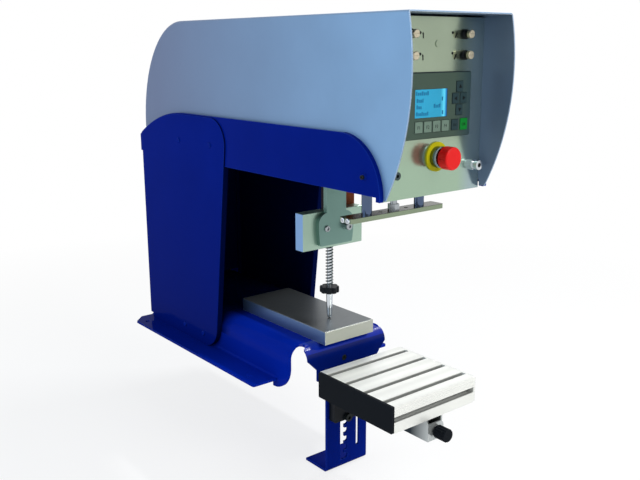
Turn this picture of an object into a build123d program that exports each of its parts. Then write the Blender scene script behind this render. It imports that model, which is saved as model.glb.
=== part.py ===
from build123d import *
import os
from math import cos, pi, sin, sqrt

# A bench pad printing machine, in millimetres.
# A folded steel base bolts to the front edge of a bench. Two side pans rise from it
# as columns and two more run forward as arms, with a folded hood between them that
# holds the control panel. Inside the hood a carriage runs fore and aft on two shafts.
# It carries the pad cylinder with its guide rods and pad plate, and an arm with the
# sprung spindle that presses the ink cup on the steel plate. A slotted bracket hangs
# from the base and holds the work table.
# The origin is the centre of the four bench bolts, on the bench's top. +Z is up, the
# operator stands at -Y, and only the controls are not the same left and right.

# Driving dimensions of the whole machine
body_half_width = 96.5
flange_half_width = 142.0
flange_half_length = 207.0
deck_height = 66.0
arm_underside = 328.0
arm_top = 406.0
hood_top = 558.0
panel_face_y = -438.5
arm_front_y = -446.0
arm_rear_y = 207.5
hood_rear_y = 200.0
carriage_travel = 144.0
pad_stroke = 110.0
pad_axis_y = -365.0
table_top = 40.0

# Sheet thicknesses
base_gauge = 4.0
pan_gauge = 3.0
hood_gauge = 2.0
panel_gauge = 3.0

# Clearances: a running fit, a gap between pieces that pass, and a cut's overrun
fit = 0.05
gap = 0.3
overrun = 5.0

# Pan depths: how far the arms and then the columns stand out from the hood
arm_depth = 7.0
column_step = 3.0

# Base sheet
deck_bend = 22.0
flange_bend = 4.0
web_reach = 33.0
web_toe_drop = 12.0
web_toe_round = 42.0
web_toe_lap = 11.0
flange_corner_cut = 20.0
flange_corner_round = 4.0
bench_hole_side_inset = 15.0
bench_hole_end_inset = 34.0
bench_hole_radius = 4.5
apron_reach = 28.0
apron_side_inset = 16.5
apron_shoulder = 44.0
apron_taper = 18.0
apron_bottom = 8.0
apron_hole_x = -8.0
apron_hole_z = 35.0
apron_hole_radius = 5.0
relief_radius = 8.5
relief_offset = 2.0
relief_reach = 8.0

# Steel printing plate
plate_half_width = 50.0
plate_thickness = 21.5
plate_length = 228.0
plate_lip = 3.0
plate_bevel = 1.0

# Hanging bracket
bracket_centre_x = 1.5
bracket_half_width = 42.5
bracket_gauge = 4.0
bracket_top = 44.0
bracket_bottom = -157.0
bracket_bend = 6.0
bracket_foot = 55.0
bracket_corner = 8.0
ladder_x = -8.0
ladder_half_width = 4.6
ladder_top = -58.0
ladder_gullet_radius = 4.8
ladder_gullet_shift = 6.8
ladder_pitch = 15.0
ladder_count = 6
guide_slot_x = 24.5
guide_slot_half_width = 3.3
guide_slot_bottom = -128.0
clamp_screw_z = -64.0

# Columns
column_front_y = -92.0
column_lean = 51.0
column_top_round = 42.0
column_foot_round = 42.0
column_rear_y = 196.0
column_heel = 12.0
column_heel_height = 10.0
column_flange_lift = 5.0
column_top_gap = 2.0

# Arms
arm_tab_drop = 6.0
arm_tab_length = 7.0
arm_nose_y = -372.0
arm_nose_mid_y = -424.0
arm_nose_mid_z = 381.0
arm_nose_round = 30.0
arm_tail_break_y = 45.0
arm_tail_top = 358.0
return_gap = 3.0
rear_panel_lap = 5.0

# Hood
hood_bottom = 332.0
hood_chin = 323.5
hood_chin_y = -440.0
hood_lip_bottom_y = -449.5
hood_lip_mid_y = -491.5
hood_lip_mid_z = 480.0
hood_lip_top_y = -484.0
hood_curve_start_y = 57.0
hood_curve_end_z = 375.0
hood_edge_round = 4.0

# Front panel
panel_bottom = 320.0
panel_top_gap = 5.0
panel_side_gap = 0.1

# Display unit
display_width = 128.2
display_height = 86.0
display_z = 440.2
display_bezel = 7.0
display_corner = 3.0
display_rim = 1.5
display_body_margin = 4.0
display_body_depth = 28.0
window_x = -13.0
window_z = 443.3
window_width = 60.0
window_height = 36.5
window_recess = 1.2
window_gauge = 1.0

# Display keys
key_row_z = 413.0
key_proud = 1.0
key_depth = 3.0
key_travel = 0.6
key_side_gap = 0.25
key_round = 1.0
key_edge = 0.3
function_key_count = 4
function_key_height = 14.5
function_key_last_x = 14.1
function_key_pitch = 16.7
function_key_gap = 2.7
arrow_x = 40.7
arrow_z = 448.0
arrow_rise = 15.3
arrow_spread = 7.6
arrow_key_width = 13.0
arrow_key_height = 14.0
escape_key_x = 32.9
confirm_key_x = 50.5
confirm_key_width = 14.0
confirm_key_height = 15.5

# Emergency stop
stop_x = 6.0
stop_z = 371.4
stop_collar_radius = 20.0
stop_collar_thickness = 2.5
stop_bezel_radius = 14.5
stop_bezel_length = 10.0
stop_bezel_edge = 1.2
stop_thread_radius = 11.0
stop_block_half_width = 14.0
stop_block_depth = 28.0
stop_stem_radius = 8.0
stop_stem_depth = 16.0
stop_cap_radius = 15.5
stop_cap_length = 14.5
stop_cap_round = 2.5
stop_lift = 5.5
stop_travel = 4.5
stop_grip_count = 8
stop_grip_radius = 1.5

# Speed valves
valve_centre_x = 1.3
valve_spread = 51.7
valve_upper_z = 531.2
valve_lower_z = 504.2
valve_collar_radius = 6.5
valve_collar_length = 6.0
valve_knob_radius = 5.5
valve_knob_length = 9.0
valve_knob_bevel = 0.8
valve_stem_radius = 3.0
valve_stem_depth = 5.0
valve_slot_width = 1.2
valve_slot_depth = 1.5
valve_neck_radius = 5.0
valve_body_radius = 7.0
valve_body_depth = 18.0
plug_radius = 3.0
plug_rim_radius = 4.5
plug_rim = 1.0
plug_x = 3.5
plug_z = 519.0

# Panel sockets
pedal_socket_inset = 15.9
pedal_socket_z = 354.5
pedal_socket_radius = 6.65
pedal_socket_length = 14.5
pedal_ring_length = 4.5
pedal_nut_across_flats = 14.0
pedal_nut_length = 5.5
pedal_waist_radius = 5.6
pedal_bore_radius = 3.1
pedal_bore_depth = 15.0
pedal_shank_radius = 5.0
socket_depth = 10.0
jack_inset = 28.2
jack_z = 351.9
jack_rim_radius = 5.5
jack_rim_length = 2.0
jack_shank_radius = 4.0
jack_bore_radius = 2.2

# Chassis inside the hood
chassis_gauge = 6.0
chassis_bottom = 335.0
chassis_top = 425.0
chassis_front_y = -434.0
chassis_rear_y = 150.0
shaft_inset = 11.0
shaft_z = 372.0
shaft_radius = 6.0
support_length = 18.0
support_top = 386.0
support_bottom = 350.0
bearing_half_width = 10.0
bearing_half_height = 15.0
bearing_length = 40.0
bearing_end_gap = 2.0
bearing_edge = 1.5
bridge_bottom = 350.0
bridge_gauge = 8.0

# Carriage
carriage_gauge = 10.0
carriage_side_gap = 0.5
carriage_corner = 6.0
carriage_front_y = -398.0
carriage_rear_y = -205.0
travel_axis_z = 405.0
travel_rod_radius = 5.0
travel_lug_half_width = 11.0
travel_lug_length = 20.0
travel_lug_top = 418.0
travel_barrel_radius = 18.0
travel_barrel_end = 12.0
travel_barrel_cap = 20.0
travel_wall = 4.0
travel_piston = 10.0
travel_end_play = 1.0

# Pad cylinder and its guide rods
pad_cylinder_half_width = 22.5
pad_cylinder_tube_inset = 1.5
pad_cylinder_cap = 10.5
pad_cylinder_round = 4.0
pad_bore_radius = 16.0
pad_piston = 10.0
pad_rod_radius = 5.0
pad_nose_radius = 12.0
pad_nose_length = 6.0
pad_end_play = 1.0
bush_side_gap = 2.0
guide_radius = 7.5
guide_end_play = 2.0
bush_radius = 14.0
bush_bottom = 345.0
bush_top = 410.0
bush_flange_radius = 17.0
bush_flange = 4.0
pad_plate_half_width = 90.5
pad_plate_depth = 26.0
pad_plate_bottom = 281.0
pad_plate_gauge = 7.0
pad_plate_round = 3.0
pad_hole_x = 25.0
pad_hole_radius = 3.0
nut_across_flats = 15.0
nut_height = 9.0

# Ink cup arm
cup_axis_y = -221.0
block_half_width = 60.5
block_depth = 19.0
block_bottom = 208.0
block_top = 267.5
block_bevel = 0.8
arm_plate_gauge = 8.0
arm_bar_half_width = 19.5
lobe_half_width = 35.0
lobe_waist = 32.0
lobe_shoulder_z = 248.0
lobe_crown_z = 266.0
lobe_bottom = 214.0
lobe_corner = 3.0
hanger_half_width = 30.0
hanger_height = 40.0
backing_left_x = -4.0
backing_right_x = 60.0
backing_bottom = 240.0
backing_top = 345.0
backing_gauge = 6.0
arm_screw_x = 19.0
arm_screw_z = 241.0
arm_screw_radius = 3.0
arm_screw_depth = 12.0
low_head_radius = 5.0
low_head_length = 2.5
tall_head_radius = 6.0
tall_head_length = 10.0
hex_key_radius = 2.6
hex_key_depth = 2.0

# Cup spindle, its spring and its ring nut
spindle_radius = 3.9
spindle_tip_radius = 3.5
spindle_neck_radius = 4.2
spindle_shoulder_radius = 5.3
spindle_neck_rise = 5.5
spindle_shoulder_z = 131.0
spindle_top = 300.0
spindle_stop_radius = 7.0
spindle_stop_length = 7.0
ring_height = 10.0
ring_hub_radius = 12.6
ring_lobe_radius = 3.6
ring_lobe_count = 8
ring_bevel = 1.0
ring_lobe_inset = 0.5
spring_wire_radius = 0.9
spring_mean_radius = 5.4
spring_turns = 13
spring_wire_sides = 8

# Work table and what carries it
table_half_width = 85.0
table_depth = 160.0
table_reach = 110.0
slot_pitch = 40.0
slot_count = 4
slot_mouth_half = 4.1
slot_lip = 4.5
slot_half = 10.0
slot_shelf = 7.5
slot_floor_half = 5.0
slot_depth = 12.3
core_radius = 3.4
cap_gauge = 4.0
cap_round = 2.0
carrier_half_width = 36.0
carrier_gauge = 12.0
carrier_bottom = -68.0
carrier_round = 4.0
carrier_arm_setback = 20.0
channel_half_width = 16.0
channel_gauge = 3.0
channel_bottom = -33.0
channel_lead = 2.0
channel_length = 80.0
channel_front_top = -7.0
channel_front_round = 8.0
knob_z = -19.0
knob_radius = 9.0
knob_length = 21.0
knob_neck = 3.0
knob_neck_radius = 5.0
knob_rib_radius = 1.0
knob_rib_count = 16
knob_screw_radius = 3.0
knob_screw_reach = 50.0
knob_bore_reach = 64.0
clamp_shank_radius = 4.3
clamp_head_radius = 6.5
clamp_head_length = 5.0
clamp_nut_across_flats = 14.0
clamp_nut_height = 5.0
guide_pin_radius = 3.0
guide_pin_seat = 6.0

# Screws that hold the sheets
screw_radius = 2.5
screw_head_radius = 4.2
screw_head_height = 2.2
screw_head_edge = 0.9
screw_reach = 6.0
nose_screw_y = -417.0
nose_screw_z = 352.0
upper_screw_z = 359.5
lower_screw_z = 24.0
upper_screw_ys = (59.0, -43.0)
lower_screw_ys = (63.0, -1.0)
apron_bolt_x = 25.0
apron_bolt_z = 20.0
bolt_across_flats = 8.0
bolt_nut_height = 4.0

# Worked out from the values above
web_outer = body_half_width
web_inner = web_outer - base_gauge
web_front_y = -flange_half_length - web_reach
toe_rear_y = web_toe_lap - flange_half_length
apron_front_y = web_front_y - apron_reach
apron_half_width = body_half_width - apron_side_inset
bench_hole_x = flange_half_width - bench_hole_side_inset
bench_hole_y = flange_half_length - bench_hole_end_inset
screw_tip_x = body_half_width - screw_reach
deck_under = deck_height - base_gauge
arm_face_x = body_half_width + arm_depth
column_face_x = arm_face_x + column_step
hood_inner = body_half_width - hood_gauge
pedal_socket_x = hood_inner - pedal_socket_inset
jack_x = jack_inset - hood_inner
plate_top = deck_height + plate_thickness
plate_front_y = apron_front_y - plate_lip
bracket_face_y = apron_front_y + base_gauge
bracket_back_y = bracket_face_y + bracket_gauge
panel_back_y = panel_face_y + panel_gauge
chassis_inner = hood_inner - chassis_gauge
shaft_x = chassis_inner - shaft_inset
guide_x = shaft_x - bearing_half_width - bush_side_gap - bush_radius
carriage_half_width = chassis_inner - carriage_side_gap
carriage_under = shaft_z + bearing_half_height
carriage_top = carriage_under + carriage_gauge
block_front_y = cup_axis_y - block_depth / 2
block_back_y = block_front_y + block_depth
arm_plate_front_y = block_front_y - arm_plate_gauge
front_support_y = carriage_front_y - bearing_end_gap
rear_support_y = carriage_rear_y + carriage_travel + bearing_end_gap
ring_bottom = spindle_shoulder_z + gap
ring_top = ring_bottom + ring_height
stop_bezel_y = panel_face_y - stop_collar_thickness - stop_bezel_length
display_face_y = panel_face_y - display_bezel
valve_collar_y = panel_face_y - valve_collar_length
guide_top = bush_top + pad_stroke + guide_end_play
pad_bore_length = pad_piston + pad_stroke + 2 * pad_end_play
pad_cylinder_top = carriage_top + 2 * pad_cylinder_cap + pad_bore_length
travel_bore_length = travel_piston + carriage_travel + 2 * travel_end_play
travel_rear_y = rear_support_y + travel_barrel_end + travel_bore_length + travel_barrel_cap
pad_plate_top = pad_plate_bottom + pad_plate_gauge
table_centre_y = apron_front_y - table_reach
table_front_y = table_centre_y - table_depth / 2
table_rear_y = table_centre_y + table_depth / 2
channel_front_y = table_front_y - channel_lead
channel_rear_y = channel_front_y + channel_length
knob_screw_end_y = channel_front_y + knob_screw_reach
knob_bore_end_y = channel_front_y + knob_bore_reach
carrier_arm_front_y = channel_front_y + carrier_arm_setback
carrier_back_y = bracket_face_y - gap
carrier_front_y = carrier_back_y - carrier_gauge
channel_inner = channel_half_width - channel_gauge


def slab(x0, x1, y0, y1, z0, z1):
    """A block between two corners."""
    centre = Pos((x0 + x1) / 2, (y0 + y1) / 2, (z0 + z1) / 2)
    return centre * Box(x1 - x0, y1 - y0, z1 - z0)


def rod_x(y, z, x0, x1, radius):
    return Pos((x0 + x1) / 2, y, z) * Rot(0, 90, 0) * Cylinder(radius, x1 - x0)


def rod_y(x, z, y0, y1, radius):
    return Pos(x, (y0 + y1) / 2, z) * Rot(90, 0, 0) * Cylinder(radius, y1 - y0)


def rod_z(x, y, z0, z1, radius):
    return Pos(x, y, (z0 + z1) / 2) * Cylinder(radius, z1 - z0)


def hexagon_y(x, z, y0, y1, across_flats):
    """A hexagonal bar along Y."""
    outline = RegularPolygon(across_flats / sqrt(3), 6)
    return Pos(x, y1, z) * extrude(Plane.XZ * outline, y1 - y0)


def side_plate(outline, x0, x1):
    """A YZ outline made solid from x0 to x1."""
    return extrude(Plane.YZ.offset(x0) * outline, x1 - x0)


def front_plate(outline, y0, y1):
    """An XZ outline made solid from y0 to y1."""
    return extrude(Plane.XZ.offset(-y1) * outline, y1 - y0)


def face_of(*edges):
    return make_face([edge for part in edges for edge in part.edges()])


def rounded(outline, radius, *places):
    """The outline with the corners nearest to these places rounded."""
    for place in places:
        corner = outline.vertices().sort_by_distance((*place, 0))[0]
        outline = fillet(corner, radius)
    return outline


def mirrored(part):
    return mirror(part, Plane.YZ)


def group(*parts):
    """Separate solids that share one node."""
    return Compound([solid for part in parts for solid in part.solids()])


def save(node, shape):
    export_step(shape, "parts/" + node + ".step")


def base_sheet():
    hat = Polygon(
        (-flange_half_width, 0), (-web_inner, 0), (-web_inner, deck_under),
        (web_inner, deck_under), (web_inner, 0), (flange_half_width, 0),
        (flange_half_width, base_gauge), (web_outer, base_gauge),
        (web_outer, deck_height), (-web_outer, deck_height),
        (-web_outer, base_gauge), (-flange_half_width, base_gauge), align=None)
    inner_bend = deck_bend - base_gauge
    for side in (-1, 1):
        hat = rounded(hat, deck_bend, (side * web_outer, deck_height))
        hat = rounded(hat, inner_bend, (side * web_inner, deck_under))
        hat = rounded(hat, flange_bend, (side * web_outer, base_gauge))
        hat = rounded(hat, flange_bend + base_gauge, (side * web_inner, 0))
    sheet = front_plate(hat, -flange_half_length, flange_half_length)
    for side in (-1, 1):
        corners = sheet.edges().filter_by(Axis.Z)
        rear = corners.sort_by_distance((side * flange_half_width, flange_half_length, 0))[0]
        sheet = chamfer(rear, flange_corner_cut)
        corners = sheet.edges().filter_by(Axis.Z)
        front = corners.sort_by_distance((side * flange_half_width, -flange_half_length, 0))[0]
        sheet = fillet(front, flange_corner_round)

    toe_hat = Polygon(
        (-web_outer, -web_toe_drop), (-web_inner, -web_toe_drop), (-web_inner, deck_under),
        (web_inner, deck_under), (web_inner, -web_toe_drop), (web_outer, -web_toe_drop),
        (web_outer, deck_height), (-web_outer, deck_height), align=None)
    for side in (-1, 1):
        toe_hat = rounded(toe_hat, deck_bend, (side * web_outer, deck_height))
        toe_hat = rounded(toe_hat, inner_bend, (side * web_inner, deck_under))
    toe_side = Polygon(
        (web_front_y, -web_toe_drop), (toe_rear_y, -web_toe_drop),
        (toe_rear_y, deck_height), (web_front_y, deck_height), align=None)
    toe_side = rounded(toe_side, web_toe_round, (web_front_y, -web_toe_drop))
    toe = front_plate(toe_hat, web_front_y, toe_rear_y)
    toe &= side_plate(toe_side, -web_outer, web_outer)

    apron_side = Polygon(
        (web_front_y, deck_height), (apron_front_y, deck_height),
        (apron_front_y, apron_bottom), (bracket_face_y, apron_bottom),
        (bracket_face_y, deck_under), (web_front_y, deck_under), align=None)
    apron_side = rounded(apron_side, deck_bend, (apron_front_y, deck_height))
    apron_side = rounded(apron_side, inner_bend, (bracket_face_y, deck_under))
    foot_half = apron_half_width - apron_taper
    apron_front = Polygon(
        (-apron_half_width, deck_height), (-apron_half_width, apron_shoulder),
        (-foot_half, apron_shoulder - apron_taper), (-foot_half, apron_bottom),
        (foot_half, apron_bottom), (foot_half, apron_shoulder - apron_taper),
        (apron_half_width, apron_shoulder), (apron_half_width, deck_height), align=None)
    apron = side_plate(apron_side, -apron_half_width, apron_half_width)
    apron &= front_plate(apron_front, apron_front_y, web_front_y)

    sheet = sheet + toe + apron
    for side in (-1, 1):
        relief_x = side * (apron_half_width + relief_offset)
        sheet -= rod_z(relief_x, web_front_y - relief_reach, apron_bottom,
                       deck_height + overrun, relief_radius)
        for hole_y in (-bench_hole_y, bench_hole_y):
            sheet -= rod_z(side * bench_hole_x, hole_y, -overrun, base_gauge + overrun, bench_hole_radius)
        sheet -= rod_y(side * apron_bolt_x, apron_bolt_z, apron_front_y - overrun,
                       bracket_face_y + overrun, screw_radius + fit)
    sheet -= rod_y(apron_hole_x, apron_hole_z, apron_front_y - overrun,
                   bracket_back_y + overrun, apron_hole_radius)
    return without_screws(sheet)


def cliche_plate():
    plate = slab(-plate_half_width, plate_half_width, plate_front_y,
                 plate_front_y + plate_length, deck_height, plate_top)
    return chamfer(plate.faces().sort_by(Axis.Z)[-1].edges(), plate_bevel)


def table_bracket():
    side = Polygon(
        (bracket_face_y, bracket_top), (bracket_face_y, bracket_bottom),
        (bracket_face_y + bracket_foot, bracket_bottom),
        (bracket_face_y + bracket_foot, bracket_bottom + bracket_gauge),
        (bracket_back_y, bracket_bottom + bracket_gauge),
        (bracket_back_y, bracket_top), align=None)
    side = rounded(side, bracket_bend, (bracket_face_y, bracket_bottom))
    side = rounded(side, bracket_bend - bracket_gauge,
                   (bracket_back_y, bracket_bottom + bracket_gauge))
    left_x = bracket_centre_x - bracket_half_width
    right_x = bracket_centre_x + bracket_half_width
    bracket = side_plate(side, left_x - overrun, right_x + overrun)
    outline = Polygon(
        (left_x, bracket_bottom - overrun), (right_x, bracket_bottom - overrun),
        (right_x, bracket_top), (left_x, bracket_top), align=None)
    outline = rounded(outline, bracket_corner, (right_x, bracket_top), (left_x, bracket_top))
    bracket &= front_plate(outline, bracket_face_y - overrun, bracket_face_y + bracket_foot + overrun)

    gullets = Sketch() + [
        Pos(ladder_x + ladder_gullet_shift, clamp_screw_z - step * ladder_pitch)
        * Circle(ladder_gullet_radius) for step in range(ladder_count)]
    gullet_run = ladder_gullet_shift + gap
    gullets += [Pos(ladder_x + gullet_run / 2, clamp_screw_z - step * ladder_pitch)
                * Rectangle(gullet_run, 2 * ladder_gullet_radius - gap)
                for step in range(ladder_count)]
    ladder_end = clamp_screw_z - (ladder_count - 1) * ladder_pitch - ladder_gullet_radius - gap
    channel = Polygon(
        (ladder_x - ladder_half_width, ladder_top), (ladder_x - ladder_half_width, ladder_end),
        (ladder_x + ladder_half_width, ladder_end), (ladder_x + ladder_half_width, ladder_top),
        align=None)
    channel = rounded(channel, ladder_half_width - gap,
                      (ladder_x - ladder_half_width, ladder_top),
                      (ladder_x + ladder_half_width, ladder_top),
                      (ladder_x - ladder_half_width, ladder_end),
                      (ladder_x + ladder_half_width, ladder_end))
    guide_slot = (Pos(guide_slot_x, (ladder_top + guide_slot_bottom) / 2)
                  * SlotOverall(ladder_top - guide_slot_bottom, 2 * guide_slot_half_width,
                                rotation=90))
    bolt_holes = [Pos(x, apron_bolt_z) * Circle(screw_radius + fit)
                  for x in (-apron_bolt_x, apron_bolt_x)]
    panel_hole = Pos(apron_hole_x, apron_hole_z) * Circle(apron_hole_radius)
    for cut in (channel + gullets, guide_slot, *bolt_holes, panel_hole):
        bracket -= front_plate(cut, bracket_face_y - overrun, bracket_back_y + overrun)
    return bracket


def side_screw_ends():
    """The outer end and the YZ centre of each screw in a side pan."""
    places = [(arm_face_x, nose_screw_y, nose_screw_z)]
    places += [(column_face_x, y, upper_screw_z) for y in upper_screw_ys]
    return places + [(column_face_x, y, lower_screw_z) for y in lower_screw_ys]


def without_screws(part):
    """The part with the holes of the side screws that reach it."""
    for outer_x, y, z in side_screw_ends():
        for side in (-1, 1):
            ends = sorted((side * screw_tip_x, side * outer_x))
            part -= rod_x(y, z, *ends, screw_radius + fit)
    return part


def body_screws():
    """The screws of the side pans, and the bolts that hold the bracket to the apron."""
    screws = []
    for outer_x, y, z in side_screw_ends():
        head = rod_x(y, z, -outer_x - screw_head_height, -outer_x, screw_head_radius)
        head = chamfer(head.edges().sort_by(Axis.X)[0], screw_head_edge)
        screw = head + rod_x(y, z, -outer_x, -screw_tip_x, screw_radius)
        screws += [screw, mirrored(screw)]
    for x in (-apron_bolt_x, apron_bolt_x):
        bolt = rod_y(x, apron_bolt_z, apron_front_y, bracket_back_y, screw_radius)
        bolt += hexagon_y(x, apron_bolt_z, apron_front_y - bolt_nut_height, apron_front_y,
                          bolt_across_flats)
        bolt += hexagon_y(x, apron_bolt_z, bracket_back_y, bracket_back_y + bolt_nut_height,
                          bolt_across_flats)
        screws.append(bolt)
    return group(*screws)


def tail_height(y, drop):
    """The height at y of the pans' rear curve, lowered by drop."""
    run = arm_rear_y - arm_tail_break_y
    fall = arm_top - arm_tail_top
    radius = (run ** 2 + fall ** 2) / (2 * fall)
    return arm_top - drop - radius + sqrt(radius ** 2 - (y - arm_tail_break_y) ** 2)


def column_outline():
    top = arm_top - column_top_gap
    foot_y = column_front_y + column_lean
    heel_y = column_rear_y - column_heel
    heel_z = base_gauge + column_heel_height
    rear_top = (column_rear_y, tail_height(column_rear_y, column_top_gap))
    outline = face_of(
        TangentArc((arm_tail_break_y, top), rear_top, tangent=(1, 0)),
        Polyline(rear_top, (column_rear_y, heel_z), (heel_y, heel_z), (heel_y, base_gauge),
                 (foot_y, base_gauge), (column_front_y, top), (arm_tail_break_y, top)))
    outline = rounded(outline, column_top_round, (column_front_y, top))
    return rounded(outline, column_foot_round, (foot_y, base_gauge))


def left_column():
    outline = column_outline()
    column = side_plate(outline, -column_face_x, -column_face_x + pan_gauge)
    rim = outline - offset(outline, -pan_gauge)
    returns = side_plate(rim, -column_face_x + pan_gauge, -body_half_width)
    returns &= slab(-column_face_x, -body_half_width, column_front_y, column_rear_y,
                    base_gauge + column_flange_lift, arm_underside - return_gap)
    return without_screws(column + returns)


def arm_outline():
    chin = arm_underside - arm_tab_drop
    nose = ThreePointArc((arm_front_y, chin), (arm_nose_mid_y, arm_nose_mid_z),
                         (arm_nose_y, arm_top))
    tail = TangentArc((arm_tail_break_y, arm_top), (arm_rear_y, arm_tail_top), tangent=(1, 0))
    outline = face_of(
        nose, Line((arm_nose_y, arm_top), (arm_tail_break_y, arm_top)), tail,
        Polyline((arm_rear_y, arm_tail_top), (arm_rear_y, arm_underside),
                 (arm_front_y + arm_tab_length, arm_underside),
                 (arm_front_y + arm_tab_length, chin), (arm_front_y, chin)))
    return rounded(outline, arm_nose_round, (arm_nose_y, arm_top))


def left_arm():
    outline = arm_outline()
    arm = side_plate(outline, -arm_face_x, -arm_face_x + pan_gauge)
    rim = outline - offset(outline, -pan_gauge)
    returns = side_plate(rim, -arm_face_x + pan_gauge, -body_half_width)
    reach = slab(-arm_face_x, -body_half_width, arm_front_y - overrun, arm_rear_y + overrun,
                 arm_underside - arm_tab_drop, arm_underside + pan_gauge)
    reach += slab(-arm_face_x, -body_half_width, arm_front_y - overrun, arm_nose_y,
                  arm_underside, arm_top)
    return without_screws(arm + (returns & reach))


def hood_outline(inset):
    """The hood's side outline, drawn in by the sheet's thickness at top and rear."""
    top = hood_top - inset
    rear = hood_rear_y - inset
    run = hood_rear_y - hood_curve_start_y - inset
    rise = hood_top - hood_curve_end_z - inset
    centre = (hood_curve_start_y, hood_curve_end_z)
    curve = EllipticalCenterArc(centre, run, rise, start_angle=0, arc_size=90)
    if inset:
        open_y = hood_lip_mid_y - overrun
        open_z = hood_chin - overrun
        return face_of(curve, Polyline((hood_curve_start_y, top), (open_y, top), (open_y, open_z),
                                       (rear, open_z), (rear, hood_curve_end_z)))
    lip = ThreePointArc((hood_lip_top_y, top), (hood_lip_mid_y, hood_lip_mid_z),
                        (hood_lip_bottom_y, hood_chin))
    return face_of(curve, Line((hood_curve_start_y, top), (hood_lip_top_y, top)), lip,
                   Polyline((hood_lip_bottom_y, hood_chin), (hood_chin_y, hood_chin),
                            (hood_chin_y, hood_bottom), (rear, hood_bottom),
                            (rear, hood_curve_end_z)))


def hood():
    outer = side_plate(hood_outline(0), -body_half_width, body_half_width)
    long_edges = [edge for edge in outer.edges()
                  if edge.center().Z > hood_curve_end_z + hood_edge_round
                  and abs(abs(edge.center().X) - body_half_width) < fit
                  and edge.center().Y > hood_lip_top_y + overrun]
    outer = fillet(long_edges, hood_edge_round)
    shell = outer - side_plate(hood_outline(hood_gauge), -hood_inner, hood_inner)
    return without_screws(shell)


def rear_panel():
    half = body_half_width + rear_panel_lap
    front_y = column_rear_y + gap
    rear_y = front_y + pan_gauge
    panel = slab(-body_half_width, body_half_width, front_y, rear_y, deck_height, hood_bottom)
    return panel + slab(-half, half, front_y, rear_y, deck_height, arm_underside - return_gap)


def valve_places():
    return [(valve_centre_x + side * valve_spread, z)
            for z in (valve_upper_z, valve_lower_z) for side in (-1, 1)]


def front_panel():
    half = hood_inner - panel_side_gap
    panel = slab(-half, half, panel_face_y, panel_back_y, panel_bottom, hood_top - panel_top_gap)
    body_half_x = display_width / 2 - display_body_margin + gap
    body_half_z = display_height / 2 - display_body_margin + gap
    cut = (panel_face_y - overrun, panel_back_y + overrun)
    panel -= slab(-body_half_x, body_half_x, *cut, display_z - body_half_z, display_z + body_half_z)
    panel -= rod_y(stop_x, stop_z, *cut, stop_thread_radius + fit)
    panel -= rod_y(plug_x, plug_z, *cut, plug_radius)
    for x, z in valve_places():
        panel -= rod_y(x, z, *cut, valve_neck_radius + fit)
    panel -= rod_y(pedal_socket_x, pedal_socket_z, *cut, pedal_shank_radius + fit)
    panel -= rod_y(jack_x, jack_z, *cut, jack_shank_radius + fit)
    return panel


def key_places():
    """Each key's name with its centre, width and height on the display unit."""
    places = {}
    key_width = function_key_pitch - function_key_gap
    for number in range(function_key_count):
        x = function_key_last_x - number * function_key_pitch
        name = f"function_key_{function_key_count - number}"
        places[name] = (x, key_row_z, key_width, function_key_height)
    size = (arrow_key_width, arrow_key_height)
    places["up_key"] = (arrow_x, arrow_z + arrow_rise, *size)
    places["down_key"] = (arrow_x, arrow_z - arrow_rise, *size)
    places["left_key"] = (arrow_x - arrow_spread, arrow_z, *size)
    places["right_key"] = (arrow_x + arrow_spread, arrow_z, *size)
    places["escape_key"] = (escape_key_x, key_row_z, *size)
    places["confirm_key"] = (confirm_key_x, key_row_z, confirm_key_width, confirm_key_height)
    return places


def display_housing():
    half_x = display_width / 2
    half_z = display_height / 2
    bezel = slab(-half_x, half_x, display_face_y, panel_face_y,
                 display_z - half_z, display_z + half_z)
    bezel = fillet(bezel.edges().filter_by(Axis.Y), display_corner)
    bezel = fillet(bezel.faces().sort_by(Axis.Y)[0].edges(), display_rim)
    body_x = half_x - display_body_margin
    body_z = half_z - display_body_margin
    unit = bezel + slab(-body_x, body_x, panel_face_y, panel_face_y + display_body_depth,
                        display_z - body_z, display_z + body_z)
    unit -= slab(window_x - window_width / 2, window_x + window_width / 2,
                 display_face_y - overrun, display_face_y + window_recess,
                 window_z - window_height / 2, window_z + window_height / 2)
    pocket_y = display_face_y + key_depth + key_travel + gap
    for x, z, width, height in key_places().values():
        pocket_x = width / 2 + key_side_gap
        pocket_z = height / 2 + key_side_gap
        unit -= slab(x - pocket_x, x + pocket_x, display_face_y - overrun, pocket_y,
                     z - pocket_z, z + pocket_z)
    return unit


def display_window():
    half_x = window_width / 2 - fit
    half_z = window_height / 2 - fit
    back_y = display_face_y + window_recess
    return slab(window_x - half_x, window_x + half_x, back_y - window_gauge, back_y,
                window_z - half_z, window_z + half_z)


def key(name):
    x, z, width, height = key_places()[name]
    cap = slab(x - width / 2, x + width / 2, display_face_y - key_proud,
               display_face_y + key_depth, z - height / 2, z + height / 2)
    cap = fillet(cap.edges().filter_by(Axis.Y), key_round)
    return chamfer(cap.faces().sort_by(Axis.Y)[0].edges(), key_edge)


def estop_collar():
    ring = rod_y(stop_x, stop_z, panel_face_y - stop_collar_thickness, panel_face_y,
                 stop_collar_radius)
    return ring - rod_y(stop_x, stop_z, panel_face_y - overrun, panel_face_y + overrun,
                        stop_thread_radius + fit)


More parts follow.
